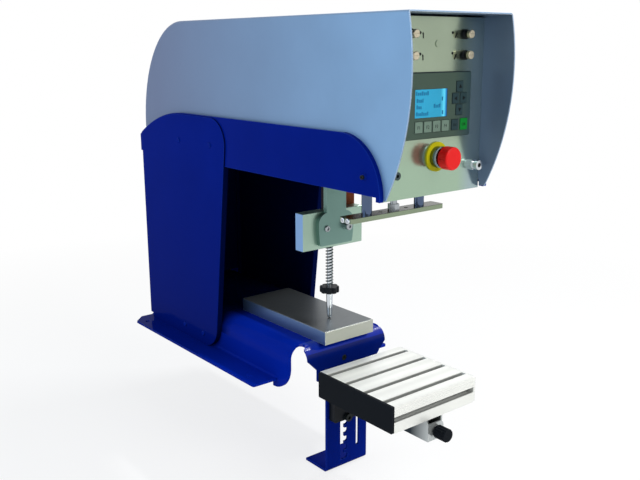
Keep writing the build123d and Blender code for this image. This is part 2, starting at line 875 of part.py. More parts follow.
def estop_bezel():
    seat_y = panel_face_y - stop_collar_thickness
    bezel = rod_y(stop_x, stop_z, stop_bezel_y, seat_y, stop_bezel_radius)
    bezel = chamfer(bezel.edges().sort_by(Axis.Y)[0], stop_bezel_edge)
    bezel += rod_y(stop_x, stop_z, seat_y, panel_back_y, stop_thread_radius)
    bezel += slab(stop_x - stop_block_half_width, stop_x + stop_block_half_width,
                  panel_back_y, panel_back_y + stop_block_depth,
                  stop_z - stop_block_half_width, stop_z + stop_block_half_width)
    bore_end = stop_bezel_y + stop_stem_depth + stop_travel + gap
    return bezel - rod_y(stop_x, stop_z, stop_bezel_y - overrun, bore_end, stop_stem_radius + fit)


def estop_button():
    back_y = stop_bezel_y - stop_lift
    front_y = back_y - stop_cap_length
    cap = rod_y(stop_x, stop_z, front_y, back_y, stop_cap_radius)
    cap = fillet(cap.edges().sort_by(Axis.Y)[0], stop_cap_round)
    for step in range(stop_grip_count):
        turn = 2 * pi * step / stop_grip_count
        grip_x = stop_x + (stop_cap_radius + stop_grip_radius / 2) * cos(turn)
        grip_z = stop_z + (stop_cap_radius + stop_grip_radius / 2) * sin(turn)
        cap -= rod_y(grip_x, grip_z, front_y + stop_cap_round, back_y - stop_cap_round,
                     stop_grip_radius)
    return cap + rod_y(stop_x, stop_z, back_y, stop_bezel_y + stop_stem_depth, stop_stem_radius)


def valve_collars():
    valves = []
    for x, z in valve_places():
        valve = rod_y(x, z, valve_collar_y, panel_face_y, valve_collar_radius)
        valve = chamfer(valve.edges().sort_by(Axis.Y)[0], valve_knob_bevel)
        valve += rod_y(x, z, panel_face_y, panel_back_y, valve_neck_radius)
        valve += rod_y(x, z, panel_back_y, panel_back_y + valve_body_depth, valve_body_radius)
        valve -= rod_y(x, z, valve_collar_y - overrun, valve_collar_y + valve_stem_depth + gap,
                       valve_stem_radius + fit)
        valves.append(valve)
    return group(*valves)


def valve_knob(x, z):
    back_y = valve_collar_y - gap
    front_y = back_y - valve_knob_length
    knob = rod_y(x, z, front_y, back_y, valve_knob_radius)
    knob = chamfer(knob.edges().sort_by(Axis.Y)[0], valve_knob_bevel)
    knob -= slab(x - valve_knob_radius - overrun, x + valve_knob_radius + overrun,
                 front_y - overrun, front_y + valve_slot_depth,
                 z - valve_slot_width / 2, z + valve_slot_width / 2)
    return knob + rod_y(x, z, back_y, valve_collar_y + valve_stem_depth, valve_stem_radius)


def panel_sockets():
    x, z = pedal_socket_x, pedal_socket_z
    front_y = panel_face_y - pedal_socket_length
    socket = rod_y(x, z, front_y, front_y + pedal_ring_length, pedal_socket_radius)
    socket += rod_y(x, z, front_y + pedal_ring_length, panel_face_y - pedal_nut_length,
                    pedal_waist_radius)
    socket += hexagon_y(x, z, panel_face_y - pedal_nut_length, panel_face_y,
                        pedal_nut_across_flats)
    socket += rod_y(x, z, panel_face_y, panel_back_y + socket_depth, pedal_shank_radius)
    socket -= rod_y(x, z, front_y - overrun, front_y + pedal_bore_depth, pedal_bore_radius)
    jack = rod_y(jack_x, jack_z, panel_face_y - jack_rim_length, panel_face_y, jack_rim_radius)
    jack += rod_y(jack_x, jack_z, panel_face_y, panel_back_y + socket_depth, jack_shank_radius)
    jack -= rod_y(jack_x, jack_z, panel_face_y - overrun, panel_back_y, jack_bore_radius)
    plug = rod_y(plug_x, plug_z, panel_face_y - plug_rim, panel_face_y, plug_rim_radius)
    plug += rod_y(plug_x, plug_z, panel_face_y, panel_back_y, plug_radius - fit)
    return group(socket, jack, plug)


def chassis_plates():
    side = slab(-hood_inner, -chassis_inner, chassis_front_y, chassis_rear_y,
                chassis_bottom, chassis_top)
    bridge_y = rear_support_y + support_length + bearing_end_gap
    bridge = slab(-chassis_inner, chassis_inner, bridge_y, bridge_y + bridge_gauge,
                  bridge_bottom, chassis_top)
    bridge -= rod_y(0, travel_axis_z, bridge_y - overrun, bridge_y + bridge_gauge + overrun,
                    travel_barrel_radius + fit)
    return without_screws(side + mirrored(side) + bridge)


def shaft_supports():
    supports = []
    for front_y in (front_support_y - support_length, rear_support_y):
        block = slab(-chassis_inner, -shaft_x + bearing_half_width, front_y,
                     front_y + support_length, support_bottom, support_top)
        inner_edges = block.faces().sort_by(Axis.X)[-1].edges().filter_by(Axis.Y)
        block = chamfer(inner_edges, bearing_edge)
        block -= rod_y(-shaft_x, shaft_z, front_y - overrun, front_y + support_length + overrun,
                       shaft_radius + fit)
        supports += [block, mirrored(block)]
    return group(*supports)


def slide_shafts():
    shaft = rod_y(-shaft_x, shaft_z, front_support_y - support_length,
                  rear_support_y + support_length, shaft_radius)
    return group(shaft, mirrored(shaft))


def slide_bearings():
    bearings = []
    for front_y in (carriage_front_y, carriage_rear_y - bearing_length):
        block = slab(-shaft_x - bearing_half_width, -shaft_x + bearing_half_width, front_y,
                     front_y + bearing_length, shaft_z - bearing_half_height, carriage_under)
        lower_edges = block.faces().sort_by(Axis.Z)[0].edges().filter_by(Axis.Y)
        block = chamfer(lower_edges, bearing_edge)
        block -= rod_y(-shaft_x, shaft_z, front_y - overrun, front_y + bearing_length + overrun,
                       shaft_radius + fit)
        bearings += [block, mirrored(block)]
    return group(*bearings)


def carriage_plate():
    plate = slab(-carriage_half_width, carriage_half_width, carriage_front_y, carriage_rear_y,
                 carriage_under, carriage_top)
    plate = fillet(plate.edges().filter_by(Axis.Z), carriage_corner)
    cut = (carriage_under - overrun, carriage_top + overrun)
    plate -= rod_z(0, pad_axis_y, *cut, pad_nose_radius + gap)
    for x in (-guide_x, guide_x):
        plate -= rod_z(x, pad_axis_y, *cut, bush_radius + fit)
    lug = slab(-travel_lug_half_width, travel_lug_half_width, carriage_rear_y - travel_lug_length,
               carriage_rear_y, carriage_top, travel_lug_top)
    plate += fillet(lug.faces().sort_by(Axis.Z)[-1].edges().filter_by(Axis.Y), carriage_corner)
    return plate - rod_y(0, travel_axis_z, carriage_rear_y - travel_lug_length - overrun,
                         carriage_rear_y + overrun, travel_rod_radius + fit)


def travel_cylinder():
    bore_y = rear_support_y + travel_barrel_end
    barrel = rod_y(0, travel_axis_z, rear_support_y, travel_rear_y, travel_barrel_radius)
    barrel -= rod_y(0, travel_axis_z, bore_y, bore_y + travel_bore_length,
                    travel_barrel_radius - travel_wall)
    return barrel - rod_y(0, travel_axis_z, rear_support_y - overrun, bore_y + overrun,
                          travel_rod_radius + fit)


def travel_rod():
    piston_y = rear_support_y + travel_barrel_end + travel_end_play
    piston_radius = travel_barrel_radius - travel_wall - fit
    rod = rod_y(0, travel_axis_z, carriage_rear_y - travel_lug_length, piston_y, travel_rod_radius)
    return rod + rod_y(0, travel_axis_z, piston_y, piston_y + travel_piston, piston_radius)


def pad_cylinder():
    half = pad_cylinder_half_width
    tube_half = half - pad_cylinder_tube_inset
    cylinder = slab(-tube_half, tube_half, pad_axis_y - tube_half, pad_axis_y + tube_half,
                    carriage_top, pad_cylinder_top)
    cylinder = fillet(cylinder.edges().filter_by(Axis.Z), pad_cylinder_round)
    for low in (carriage_top, pad_cylinder_top - pad_cylinder_cap):
        cap = slab(-half, half, pad_axis_y - half, pad_axis_y + half, low, low + pad_cylinder_cap)
        cylinder += fillet(cap.edges().filter_by(Axis.Z), pad_cylinder_round)
    bore_z = carriage_top + pad_cylinder_cap
    cylinder += rod_z(0, pad_axis_y, carriage_top - pad_nose_length, carriage_top, pad_nose_radius)
    cylinder -= rod_z(0, pad_axis_y, bore_z, bore_z + pad_bore_length, pad_bore_radius)
    return cylinder - rod_z(0, pad_axis_y, carriage_top - pad_nose_length - overrun,
                            bore_z + overrun, pad_rod_radius + fit)


def pad_rod():
    piston_top = carriage_top + pad_cylinder_cap + pad_bore_length - pad_end_play
    rod = rod_z(0, pad_axis_y, pad_plate_bottom, piston_top - pad_piston, pad_rod_radius)
    return rod + rod_z(0, pad_axis_y, piston_top - pad_piston, piston_top, pad_bore_radius - fit)


def rod_nut():
    outline = Pos(0, pad_axis_y) * RegularPolygon(nut_across_flats / sqrt(3), 6)
    nut = Pos(0, 0, pad_plate_top) * extrude(outline, nut_height)
    return nut - rod_z(0, pad_axis_y, pad_plate_top - overrun, pad_plate_top + nut_height + overrun,
                       pad_rod_radius + fit)


def guide_bushes():
    clear_half = pad_cylinder_half_width + gap
    cylinder_space = slab(-clear_half, clear_half, pad_axis_y - clear_half,
                          pad_axis_y + clear_half, carriage_top, bush_top + overrun)
    bushes = []
    for x in (-guide_x, guide_x):
        bush = rod_z(x, pad_axis_y, bush_bottom, bush_top, bush_radius)
        bush += rod_z(x, pad_axis_y, carriage_top, carriage_top + bush_flange, bush_flange_radius)
        bush -= rod_z(x, pad_axis_y, bush_bottom - overrun, bush_top + overrun,
                      guide_radius + fit)
        bushes.append(bush - cylinder_space)
    return group(*bushes)


def guide_rods():
    rods = [rod_z(x, pad_axis_y, pad_plate_bottom, guide_top, guide_radius)
            for x in (-guide_x, guide_x)]
    return group(*rods)


def pad_plate():
    half_depth = pad_plate_depth / 2
    plate = slab(-pad_plate_half_width, pad_plate_half_width, pad_axis_y - half_depth,
                 pad_axis_y + half_depth, pad_plate_bottom, pad_plate_top)
    plate = fillet(plate.edges().filter_by(Axis.Z), pad_plate_round)
    cut = (pad_plate_bottom - overrun, pad_plate_top + overrun)
    plate -= rod_z(0, pad_axis_y, *cut, pad_rod_radius + fit)
    for side in (-1, 1):
        plate -= rod_z(side * guide_x, pad_axis_y, *cut, guide_radius + fit)
        plate -= rod_z(side * pad_hole_x, pad_axis_y, *cut, pad_hole_radius)
    return plate


def arm_hanger():
    return slab(-hanger_half_width, hanger_half_width, block_front_y, block_back_y,
                carriage_under - hanger_height, carriage_under)


def cup_arm():
    bar, lobe, waist = arm_bar_half_width, lobe_half_width, lobe_waist
    right = [Line((bar, carriage_under), (bar, lobe_crown_z)),
             TangentArc((lobe, lobe_shoulder_z), (bar, lobe_crown_z), tangent=(0, 1)),
             TangentArc((lobe, lobe_shoulder_z), (waist, lobe_bottom), tangent=(0, -1))]
    left = [Line((-bar, carriage_under), (-bar, lobe_crown_z)),
            TangentArc((-lobe, lobe_shoulder_z), (-bar, lobe_crown_z), tangent=(0, 1)),
            TangentArc((-lobe, lobe_shoulder_z), (-waist, lobe_bottom), tangent=(0, -1))]
    outline = face_of(*right, *left, Line((-bar, carriage_under), (bar, carriage_under)),
                      Line((-waist, lobe_bottom), (waist, lobe_bottom)))
    outline = rounded(outline, lobe_corner, (-waist, lobe_bottom), (waist, lobe_bottom))
    return without_arm_screws(front_plate(outline, arm_plate_front_y, block_front_y))


def without_arm_screws(part):
    for x in (-arm_screw_x, arm_screw_x):
        part -= rod_y(x, arm_screw_z, arm_plate_front_y - overrun,
                      block_front_y + arm_screw_depth, arm_screw_radius + fit)
    return part


def arm_screws():
    screws = []
    heads = ((-arm_screw_x, low_head_radius, low_head_length),
             (arm_screw_x, tall_head_radius, tall_head_length))
    for x, radius, length in heads:
        front_y = arm_plate_front_y - length
        screw = rod_y(x, arm_screw_z, front_y, arm_plate_front_y, radius)
        screw = chamfer(screw.edges().sort_by(Axis.Y)[0], block_bevel)
        screw += rod_y(x, arm_screw_z, arm_plate_front_y, block_front_y + arm_screw_depth,
                       arm_screw_radius)
        screws.append(screw - hexagon_y(x, arm_screw_z, front_y - overrun, front_y + hex_key_depth,
                                        2 * hex_key_radius))
    return group(*screws)


def cup_block():
    block = slab(-block_half_width, block_half_width, block_front_y, block_back_y,
                 block_bottom, block_top)
    block = chamfer(block.edges(), block_bevel)
    block -= rod_z(0, cup_axis_y, block_bottom - overrun, block_top + overrun, spindle_radius + fit)
    return without_arm_screws(block)


def backing_plate():
    return slab(backing_left_x, backing_right_x, block_back_y, block_back_y + backing_gauge,
                backing_bottom, backing_top)


def cup_spindle():
    tip_z = plate_top + gap
    neck_z = tip_z + spindle_neck_rise
    profile = Polyline(
        (0, tip_z + spindle_tip_radius), (spindle_tip_radius, tip_z + spindle_tip_radius),
        (spindle_neck_radius, neck_z), (spindle_shoulder_radius, spindle_shoulder_z),
        (spindle_radius, spindle_shoulder_z), (spindle_radius, spindle_top),
        (0, spindle_top), (0, tip_z + spindle_tip_radius))
    spindle = Pos(0, cup_axis_y) * revolve(make_face(Plane.XZ * profile), Axis.Z)
    spindle += Pos(0, cup_axis_y, tip_z + spindle_tip_radius) * Sphere(spindle_tip_radius)
    stop_z_low = block_top + gap
    return spindle + rod_z(0, cup_axis_y, stop_z_low, stop_z_low + spindle_stop_length,
                           spindle_stop_radius)


def ring_nut():
    nut = rod_z(0, cup_axis_y, ring_bottom, ring_top, ring_hub_radius)
    reach = ring_hub_radius - ring_lobe_inset
    for step in range(ring_lobe_count):
        turn = 2 * pi * step / ring_lobe_count
        nut += rod_z(reach * cos(turn), cup_axis_y + reach * sin(turn), ring_bottom, ring_top,
                     ring_lobe_radius)
    blank = rod_z(0, cup_axis_y, ring_bottom, ring_top, reach + ring_lobe_radius)
    nut &= chamfer([*blank.edges().sort_by(Axis.Z)[:1], *blank.edges().sort_by(Axis.Z)[-1:]],
                   ring_bevel)
    return nut - rod_z(0, cup_axis_y, ring_bottom - overrun, ring_top + overrun,
                       spindle_radius + fit)


def cup_spring():
    """One wire wound up the spindle, with a straight lead at each end."""
    bottom = ring_top + gap + spring_wire_radius
    top = block_bottom - gap - spring_wire_radius
    halves = 2 * spring_turns
    rise = (top - bottom) / halves

    def place(step):
        turn = pi * step
        return Vector(spring_mean_radius * cos(turn), spring_mean_radius * sin(turn),
                      bottom + rise * step)

    def heading(step):
        turn = pi * step
        run = spring_mean_radius * pi
        return Vector(-run * sin(turn), run * cos(turn), rise).normalized()

    lead = 2 * spring_wire_radius
    first, last = place(0), place(halves)
    path = [Line(first - heading(0) * lead, first)]
    for step in range(halves):
        path += biarc(place(step), heading(step), place(step + 1), heading(step + 1))
    path.append(Line(last, last + heading(halves) * lead))
    wire = Wire([edge for part in path for edge in part.edges()])
    section = Plane(path[0] @ 0, z_dir=heading(0)) * RegularPolygon(
        spring_wire_radius, spring_wire_sides)
    spring = Pos(0, cup_axis_y) * sweep(section, path=wire)
    print("cup_spring least gap to itself", round(spring_self_gap(place, halves), 3))
    return spring


def biarc(start, start_heading, end, end_heading):
    """Two arcs that leave start and reach end along the given headings."""
    chord = end - start
    both_headings = start_heading + end_heading
    a = 2 * (1 - start_heading.dot(end_heading))
    b = 2 * chord.dot(both_headings)
    c = -chord.dot(chord)
    reach = (-b + sqrt(b * b - 4 * a * c)) / (2 * a)
    start_knee = start + start_heading * reach
    end_knee = end - end_heading * reach
    middle = (start_knee + end_knee) * (1 / 2)
    return [TangentArc(start, middle, tangent=start_heading),
            TangentArc(end, middle, tangent=end_heading * -1)]


def spring_self_gap(place, halves):
    """The least gap between one turn's wire and the next, from points on its centre line."""
    per_half = 12
    points = [place(step / per_half) for step in range(halves * per_half + 1)]
    turn = 2 * per_half
    nearest = min((points[i] - points[j]).length
                  for i in range(len(points))
                  for j in range(i + turn - per_half // 2,
                                 min(i + turn + per_half // 2, len(points))))
    return nearest - 2 * spring_wire_radius


def table_profile():
    profile_half = table_half_width - cap_gauge
    profile = slab(-profile_half, profile_half, table_front_y, table_rear_y, 0, table_top)
    start = -table_half_width
    for number in range(slot_count):
        y = table_front_y + slot_pitch * (number + 1 / 2)
        for side in (-1, 1):
            face = table_top / 2 * (1 + side)
            profile -= tee_slot(start, y, face, 0, -side)
        profile -= rod_x(y, table_top / 2, start - overrun, table_half_width + overrun,
                         core_radius)
    for y, side in ((table_front_y, 1), (table_rear_y, -1)):
        profile -= tee_slot(start, y, table_top / 2, side, 0)
    return profile


def tee_slot(start, y, z, into_y, into_z):
    """A slot along X that opens at (y, z) and runs into the profile."""
    outline = Polygon(
        (-slot_mouth_half, -overrun), (slot_mouth_half, -overrun), (slot_mouth_half, slot_lip),
        (slot_half, slot_lip), (slot_half, slot_shelf), (slot_floor_half, slot_depth),
        (-slot_floor_half, slot_depth), (-slot_half, slot_shelf), (-slot_half, slot_lip),
        (-slot_mouth_half, slot_lip), align=None)
    inward = Vector(0, into_y, into_z)
    across = inward.cross(Vector(1, 0, 0))
    plane = Plane((start - overrun, y, z), x_dir=across, z_dir=(1, 0, 0))
    if plane.y_dir.dot(inward) < 0:
        plane = Plane((start - overrun, y, z), x_dir=across * -1, z_dir=(1, 0, 0))
    return extrude(plane * outline, 2 * (table_half_width + overrun))


def end_caps():
    """The two caps of the table's left end."""
    caps = []
    half = table_depth / 4
    for centre_y in (table_centre_y - half, table_centre_y + half):
        cap = slab(-table_half_width, -table_half_width + cap_gauge, centre_y - half + gap / 2,
                   centre_y + half - gap / 2, 0, table_top)
        caps.append(fillet(cap.edges().filter_by(Axis.X), cap_round))
    return group(*caps)


def table_carrier():
    plate = slab(-carrier_half_width, carrier_half_width, carrier_front_y, carrier_back_y,
                 carrier_bottom, -gap)
    lower = plate.edges().filter_by(Axis.Y).sort_by(Axis.Z)[:2]
    plate = fillet(lower, carrier_round)
    arm_half = channel_inner - gap
    arm = slab(-arm_half, arm_half, carrier_arm_front_y, carrier_front_y,
               channel_bottom + channel_gauge + gap, -gap)
    carrier = plate + arm
    carrier -= rod_y(0, knob_z, carrier_arm_front_y - overrun, knob_bore_end_y,
                     knob_screw_radius + fit)
    cut = (carrier_front_y - overrun, carrier_back_y + overrun)
    carrier -= rod_y(ladder_x, clamp_screw_z, *cut, clamp_shank_radius + fit)
    return carrier - rod_y(guide_slot_x, clamp_screw_z, carrier_back_y - guide_pin_seat,
                           carrier_back_y + overrun, guide_pin_radius + fit)


def carrier_screws():
    nut_y = bracket_back_y + gap
    head_y = carrier_front_y - clamp_head_length
    clamp = rod_y(ladder_x, clamp_screw_z, head_y, carrier_front_y, clamp_head_radius)
    clamp -= hexagon_y(ladder_x, clamp_screw_z, head_y - overrun, head_y + hex_key_depth,
                       2 * hex_key_radius)
    clamp += rod_y(ladder_x, clamp_screw_z, carrier_front_y, nut_y, clamp_shank_radius)
    clamp += hexagon_y(ladder_x, clamp_screw_z, nut_y, nut_y + clamp_nut_height,
                       clamp_nut_across_flats)
    pin = rod_y(guide_slot_x, clamp_screw_z, carrier_back_y - guide_pin_seat, bracket_back_y,
                guide_pin_radius)
    return group(clamp, pin)


def clamp_channel():
    half, inner = channel_half_width, channel_inner
    outline = Polygon(
        (-half, 0), (-half, channel_bottom), (half, channel_bottom), (half, 0), (inner, 0),
        (inner, channel_bottom + channel_gauge), (-inner, channel_bottom + channel_gauge),
        (-inner, 0), align=None)
    channel = front_plate(outline, channel_front_y + channel_gauge, channel_rear_y)
    front = Polygon(
        (-half, channel_bottom), (half, channel_bottom), (half, channel_front_top),
        (-half, channel_front_top), align=None)
    front = rounded(front, channel_front_round, (half, channel_front_top))
    channel += front_plate(front, channel_front_y, channel_front_y + channel_gauge)
    return channel - rod_y(0, knob_z, channel_front_y - overrun, channel_front_y + overrun,
                           knob_screw_radius + fit)


def clamp_knob():
    back_y = channel_front_y - knob_neck
    knob = rod_y(0, knob_z, back_y - knob_length, back_y, knob_radius)
    for step in range(knob_rib_count):
        turn = 2 * pi * step / knob_rib_count
        knob += rod_y(knob_radius * cos(turn), knob_z + knob_radius * sin(turn),
                      back_y - knob_length + knob_rib_radius, back_y - knob_rib_radius,
                      knob_rib_radius)
    knob += rod_y(0, knob_z, back_y, channel_front_y - gap, knob_neck_radius)
    return knob + rod_y(0, knob_z, channel_front_y - gap, knob_screw_end_y, knob_screw_radius)


def build():
    os.makedirs("parts", exist_ok=True)
    column = left_column()
    arm = left_arm()
    nodes = {
        "base_sheet": base_sheet(),
        "cliche_plate": cliche_plate(),
        "table_bracket": table_bracket(),
        "left_column": column,
        "right_column": mirrored(column),
        "left_arm": arm,
        "right_arm": mirrored(arm),
        "body_screws": body_screws(),
        "rear_panel": rear_panel(),
        "hood": hood(),
        "front_panel": front_panel(),
        "display_housing": display_housing(),
        "display_window": display_window(),
        "estop_collar": estop_collar(),
        "estop_bezel": estop_bezel(),
        "estop_button": estop_button(),
        "valve_collars": valve_collars(),
        "panel_sockets": panel_sockets(),
        "chassis_plates": chassis_plates(),
        "shaft_supports": shaft_supports(),
        "slide_shafts": slide_shafts(),
        "travel_cylinder": travel_cylinder(),
        "travel_rod": travel_rod(),
        "slide_bearings": slide_bearings(),
        "carriage_plate": carriage_plate(),
        "pad_cylinder": pad_cylinder(),
        "guide_bushes": guide_bushes(),
        "guide_rods": guide_rods(),
        "pad_rod": pad_rod(),
        "rod_nut": rod_nut(),
        "pad_plate": pad_plate(),
        "arm_hanger": arm_hanger(),
        "cup_arm": cup_arm(),
        "arm_screws": arm_screws(),
        "cup_block": cup_block(),
        "backing_plate": backing_plate(),
        "cup_spindle": cup_spindle(),
        "ring_nut": ring_nut(),
        "cup_spring": cup_spring(),
        "table_carrier": table_carrier(),
        "carrier_screws": carrier_screws(),
        "table_profile": table_profile(),
        "end_caps": end_caps(),
        "far_end_caps": mirrored(end_caps()),
        "clamp_channel": clamp_channel(),
        "clamp_knob": clamp_knob(),
    }
    for name in key_places():
        nodes[name] = key(name)
    for number, place in enumerate(valve_places()):
        nodes[f"valve_knob_{number + 1}"] = valve_knob(*place)
    for node, shape in nodes.items():
        save(node, shape)


build()
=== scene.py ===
# %% [markdown]
# # A bench pad printing machine
# A pad printing machine carries ink from an etched steel plate to the thing that lies on its
# table. This file dresses a finished CAD model of one: paint, brushed metal, plastic, and
# the small marks and fasteners that the solids leave out. Each cell is one step. The solids
# come from the frame and are never moved, so a new piece is placed by asking the frame
# where the solid that carries it is. All lengths are metres, apart from those that a name
# or a comment gives in millimetres.

# %% Load the frame
from math import atan2, pi, radians

import bmesh
import bpy
from mathutils import Matrix, Vector


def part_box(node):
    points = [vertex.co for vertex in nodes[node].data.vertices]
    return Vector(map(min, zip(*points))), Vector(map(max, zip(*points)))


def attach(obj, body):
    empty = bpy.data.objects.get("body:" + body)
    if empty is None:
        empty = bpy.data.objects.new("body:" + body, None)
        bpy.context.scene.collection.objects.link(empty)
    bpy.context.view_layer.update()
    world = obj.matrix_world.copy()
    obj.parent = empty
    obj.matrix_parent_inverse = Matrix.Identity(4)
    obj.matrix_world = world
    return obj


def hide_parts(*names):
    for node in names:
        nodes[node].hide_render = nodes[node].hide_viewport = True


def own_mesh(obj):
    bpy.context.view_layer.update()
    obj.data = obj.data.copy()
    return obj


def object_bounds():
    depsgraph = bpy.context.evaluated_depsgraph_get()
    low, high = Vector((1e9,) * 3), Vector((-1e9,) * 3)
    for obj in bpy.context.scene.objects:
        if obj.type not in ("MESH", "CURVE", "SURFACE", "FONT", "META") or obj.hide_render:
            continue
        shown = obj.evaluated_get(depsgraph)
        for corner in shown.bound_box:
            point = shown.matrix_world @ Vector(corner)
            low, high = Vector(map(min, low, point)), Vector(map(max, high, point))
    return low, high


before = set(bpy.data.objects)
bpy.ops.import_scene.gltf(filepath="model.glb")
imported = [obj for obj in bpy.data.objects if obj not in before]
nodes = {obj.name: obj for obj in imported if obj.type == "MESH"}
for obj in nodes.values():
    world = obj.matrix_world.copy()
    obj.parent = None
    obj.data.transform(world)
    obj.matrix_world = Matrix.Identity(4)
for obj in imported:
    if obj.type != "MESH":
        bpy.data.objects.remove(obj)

cad_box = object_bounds()
print("nodes", len(nodes), "box", cad_box)

# %% [markdown]
# ## The camera
# The picture was taken from the operator's left, a little above the table, with a normal
# lens. A camera is easiest to set by its place, the way it looks round the compass, and
# how far it dips, so those numbers are kept apart and turned into one matrix.

# %% Camera
camera_place = Vector((-0.8, -1.19, 0.5165))
camera_turn = radians(38.862)
camera_dip = radians(13.407)
camera_roll = radians(0.1755)

camera_data = bpy.data.cameras.new("camera")
camera_data.lens = 45.80
camera_data.sensor_width = 36.0
camera = bpy.data.objects.new("camera", camera_data)
camera.matrix_world = (Matrix.Translation(camera_place)
                       @ Matrix.Rotation(-camera_turn, 4, "Z")
                       @ Matrix.Rotation(pi / 2 - camera_dip, 4, "X")
                       @ Matrix.Rotation(-camera_roll, 4, "Z"))
bpy.context.scene.collection.objects.link(camera)
bpy.context.scene.camera = camera
bpy.context.scene.view_settings.view_transform = "Standard"
print("camera at", tuple(camera_place), "lens", camera_data.lens)

# %% [markdown]
# ## Light and floor
# A product picture on white has soft light from all round and a few lamps that give the
# metal its bright sides. The world lights the object softly, and is plain white to the
# camera and in reflections. Light Path tells these rays apart from the ones that light a
# matt surface, so a small helper asks it once for both the world and the floor.


# %% Light Path helper
def backdrop_ray(tree):
    """1 for a ray that shows the background: camera, mirror or glass."""
    path = tree.nodes.new("ShaderNodeLightPath")
    seen = path.outputs["Is Camera Ray"]
    for name in ("Is Glossy Ray", "Is Transmission Ray"):
        either = tree.nodes.new("ShaderNodeMath")
        either.operation = "MAXIMUM"
        tree.links.new(seen, either.inputs[0])
        tree.links.new(path.outputs[name], either.inputs[1])
        seen = either.outputs[0]
    return seen


# %% World
world = bpy.data.worlds.new("studio")
bpy.context.scene.world = world
world.use_nodes = True
tree = world.node_tree
tree.nodes.clear()
soft_light = tree.nodes.new("ShaderNodeBackground")
soft_light.inputs["Color"].default_value = (0.90, 0.95, 1.0, 1.0)
soft_light.inputs["Strength"].default_value = 0.42
white = tree.nodes.new("ShaderNodeBackground")
white.inputs["Color"].default_value = (1.0, 1.0, 1.0, 1.0)
mix = tree.nodes.new("ShaderNodeMixShader")
world_out = tree.nodes.new("ShaderNodeOutputWorld")
tree.links.new(backdrop_ray(tree), mix.inputs[0])
tree.links.new(soft_light.outputs[0], mix.inputs[1])
tree.links.new(white.outputs[0], mix.inputs[2])
tree.links.new(mix.outputs[0], world_out.inputs["Surface"])
print("world", world.name, "soft light", soft_light.inputs["Strength"].default_value)

# %% [markdown]
# Two large square lamps light the front and, a little bluer, the left side. The third is a
# narrow strip, high on the right. Glossy paint mirrors a lamp's shape, so the strip is what
# draws the thin bright line along the bend at the base's front. Power is in watts.


# %% Lamps
machine_middle = Vector((0.0, -0.15, 0.25))


def lamp(name, place, size, power, colour):
    """A soft box, given as width and depth, that points to the machine's middle."""
    data = bpy.data.lights.new(name, "AREA")
    data.shape = "RECTANGLE"
    data.size, data.size_y = size
    data.energy = power
    data.color = colour
    box = bpy.data.objects.new(name, data)
    box.location = place
    aim = machine_middle - Vector(place)
    box.rotation_euler = aim.to_track_quat("-Z", "Y").to_euler()
    bpy.context.scene.collection.objects.link(box)
    print(name, "at", place, "power", power)


lamp("front_lamp", (0.3, -1.9, 1.3), (1.2, 1.2), 24.0, (1.0, 0.98, 0.92))
lamp("left_lamp", (-1.9, 0.1, 0.9), (1.4, 1.4), 15.0, (0.66, 0.82, 1.0))
lamp("strip_lamp", (1.30, -0.36, 1.75), (0.70, 0.10), 23.0, (1.0, 1.0, 1.0))

# %% [markdown]
# The floor is one large face, a little under the machine's lowest point, so that the two
# never share a plane.

# %% Floor
floor_gap = 0.0005
floor_half_width = 4.0

mesh = bmesh.new()
bmesh.ops.create_grid(mesh, x_segments=1, y_segments=1, size=floor_half_width)
bmesh.ops.translate(mesh, verts=mesh.verts, vec=(0.0, 0.0, cad_box[0][2] - floor_gap))
floor_data = bpy.data.meshes.new("floor")
mesh.to_mesh(floor_data)
mesh.free()
floor = bpy.data.objects.new("floor", floor_data)
bpy.context.scene.collection.objects.link(floor)
print("floor at", floor_data.vertices[0].co.z)

# %% [markdown]
# The floor has to look white and still keep the machine's soft shadow. Part of what the
# camera sees of it is a plain white glow, and the rest is a matt floor that the lamps
# light. The glow's share grows with distance, so the floor has no visible far edge.

# %% Floor paint
floor_white = (0.93, 0.93, 0.93, 1.0)
glow_share = 0.78
glow_grows_from, glow_full_at = 0.45, 1.6

floor_paint = bpy.data.materials.new("floor_paint")
floor_paint.use_nodes = True
tree = floor_paint.node_tree
matt = tree.nodes["Principled BSDF"]
matt.inputs["Base Color"].default_value = floor_white
matt.inputs["Roughness"].default_value = 0.9
matt.inputs["Specular IOR Level"].default_value = 0.0
glow = tree.nodes.new("ShaderNodeEmission")
where = tree.nodes.new("ShaderNodeTexCoord")
away = tree.nodes.new("ShaderNodeVectorMath")
away.operation = "LENGTH"
share = tree.nodes.new("ShaderNodeMapRange")
share.inputs["From Min"].default_value = glow_grows_from
share.inputs["From Max"].default_value = glow_full_at
share.inputs["To Min"].default_value = glow_share
share.inputs["To Max"].default_value = 1.0
amount = tree.nodes.new("ShaderNodeMath")
amount.operation = "MULTIPLY"
floor_mix = tree.nodes.new("ShaderNodeMixShader")
tree.links.new(where.outputs["Object"], away.inputs[0])
tree.links.new(away.outputs["Value"], share.inputs["Value"])
tree.links.new(share.outputs["Result"], amount.inputs[0])
tree.links.new(backdrop_ray(tree), amount.inputs[1])
tree.links.new(amount.outputs[0], floor_mix.inputs[0])
tree.links.new(matt.outputs[0], floor_mix.inputs[1])
tree.links.new(glow.outputs[0], floor_mix.inputs[2])
tree.links.new(floor_mix.outputs[0], tree.nodes["Material Output"].inputs["Surface"])
floor_data.materials.append(floor_paint)
print(floor_paint.name, "glows by", glow_share)

# %% [markdown]
# ## A base for every finish
# No real surface is one flat number. Each finish here starts from a Principled shader whose
# colour, roughness and fine bump come from noise in Object coordinates, so that the pattern
# stays with the piece. Stretching the noise along one axis turns grain into brush lines.


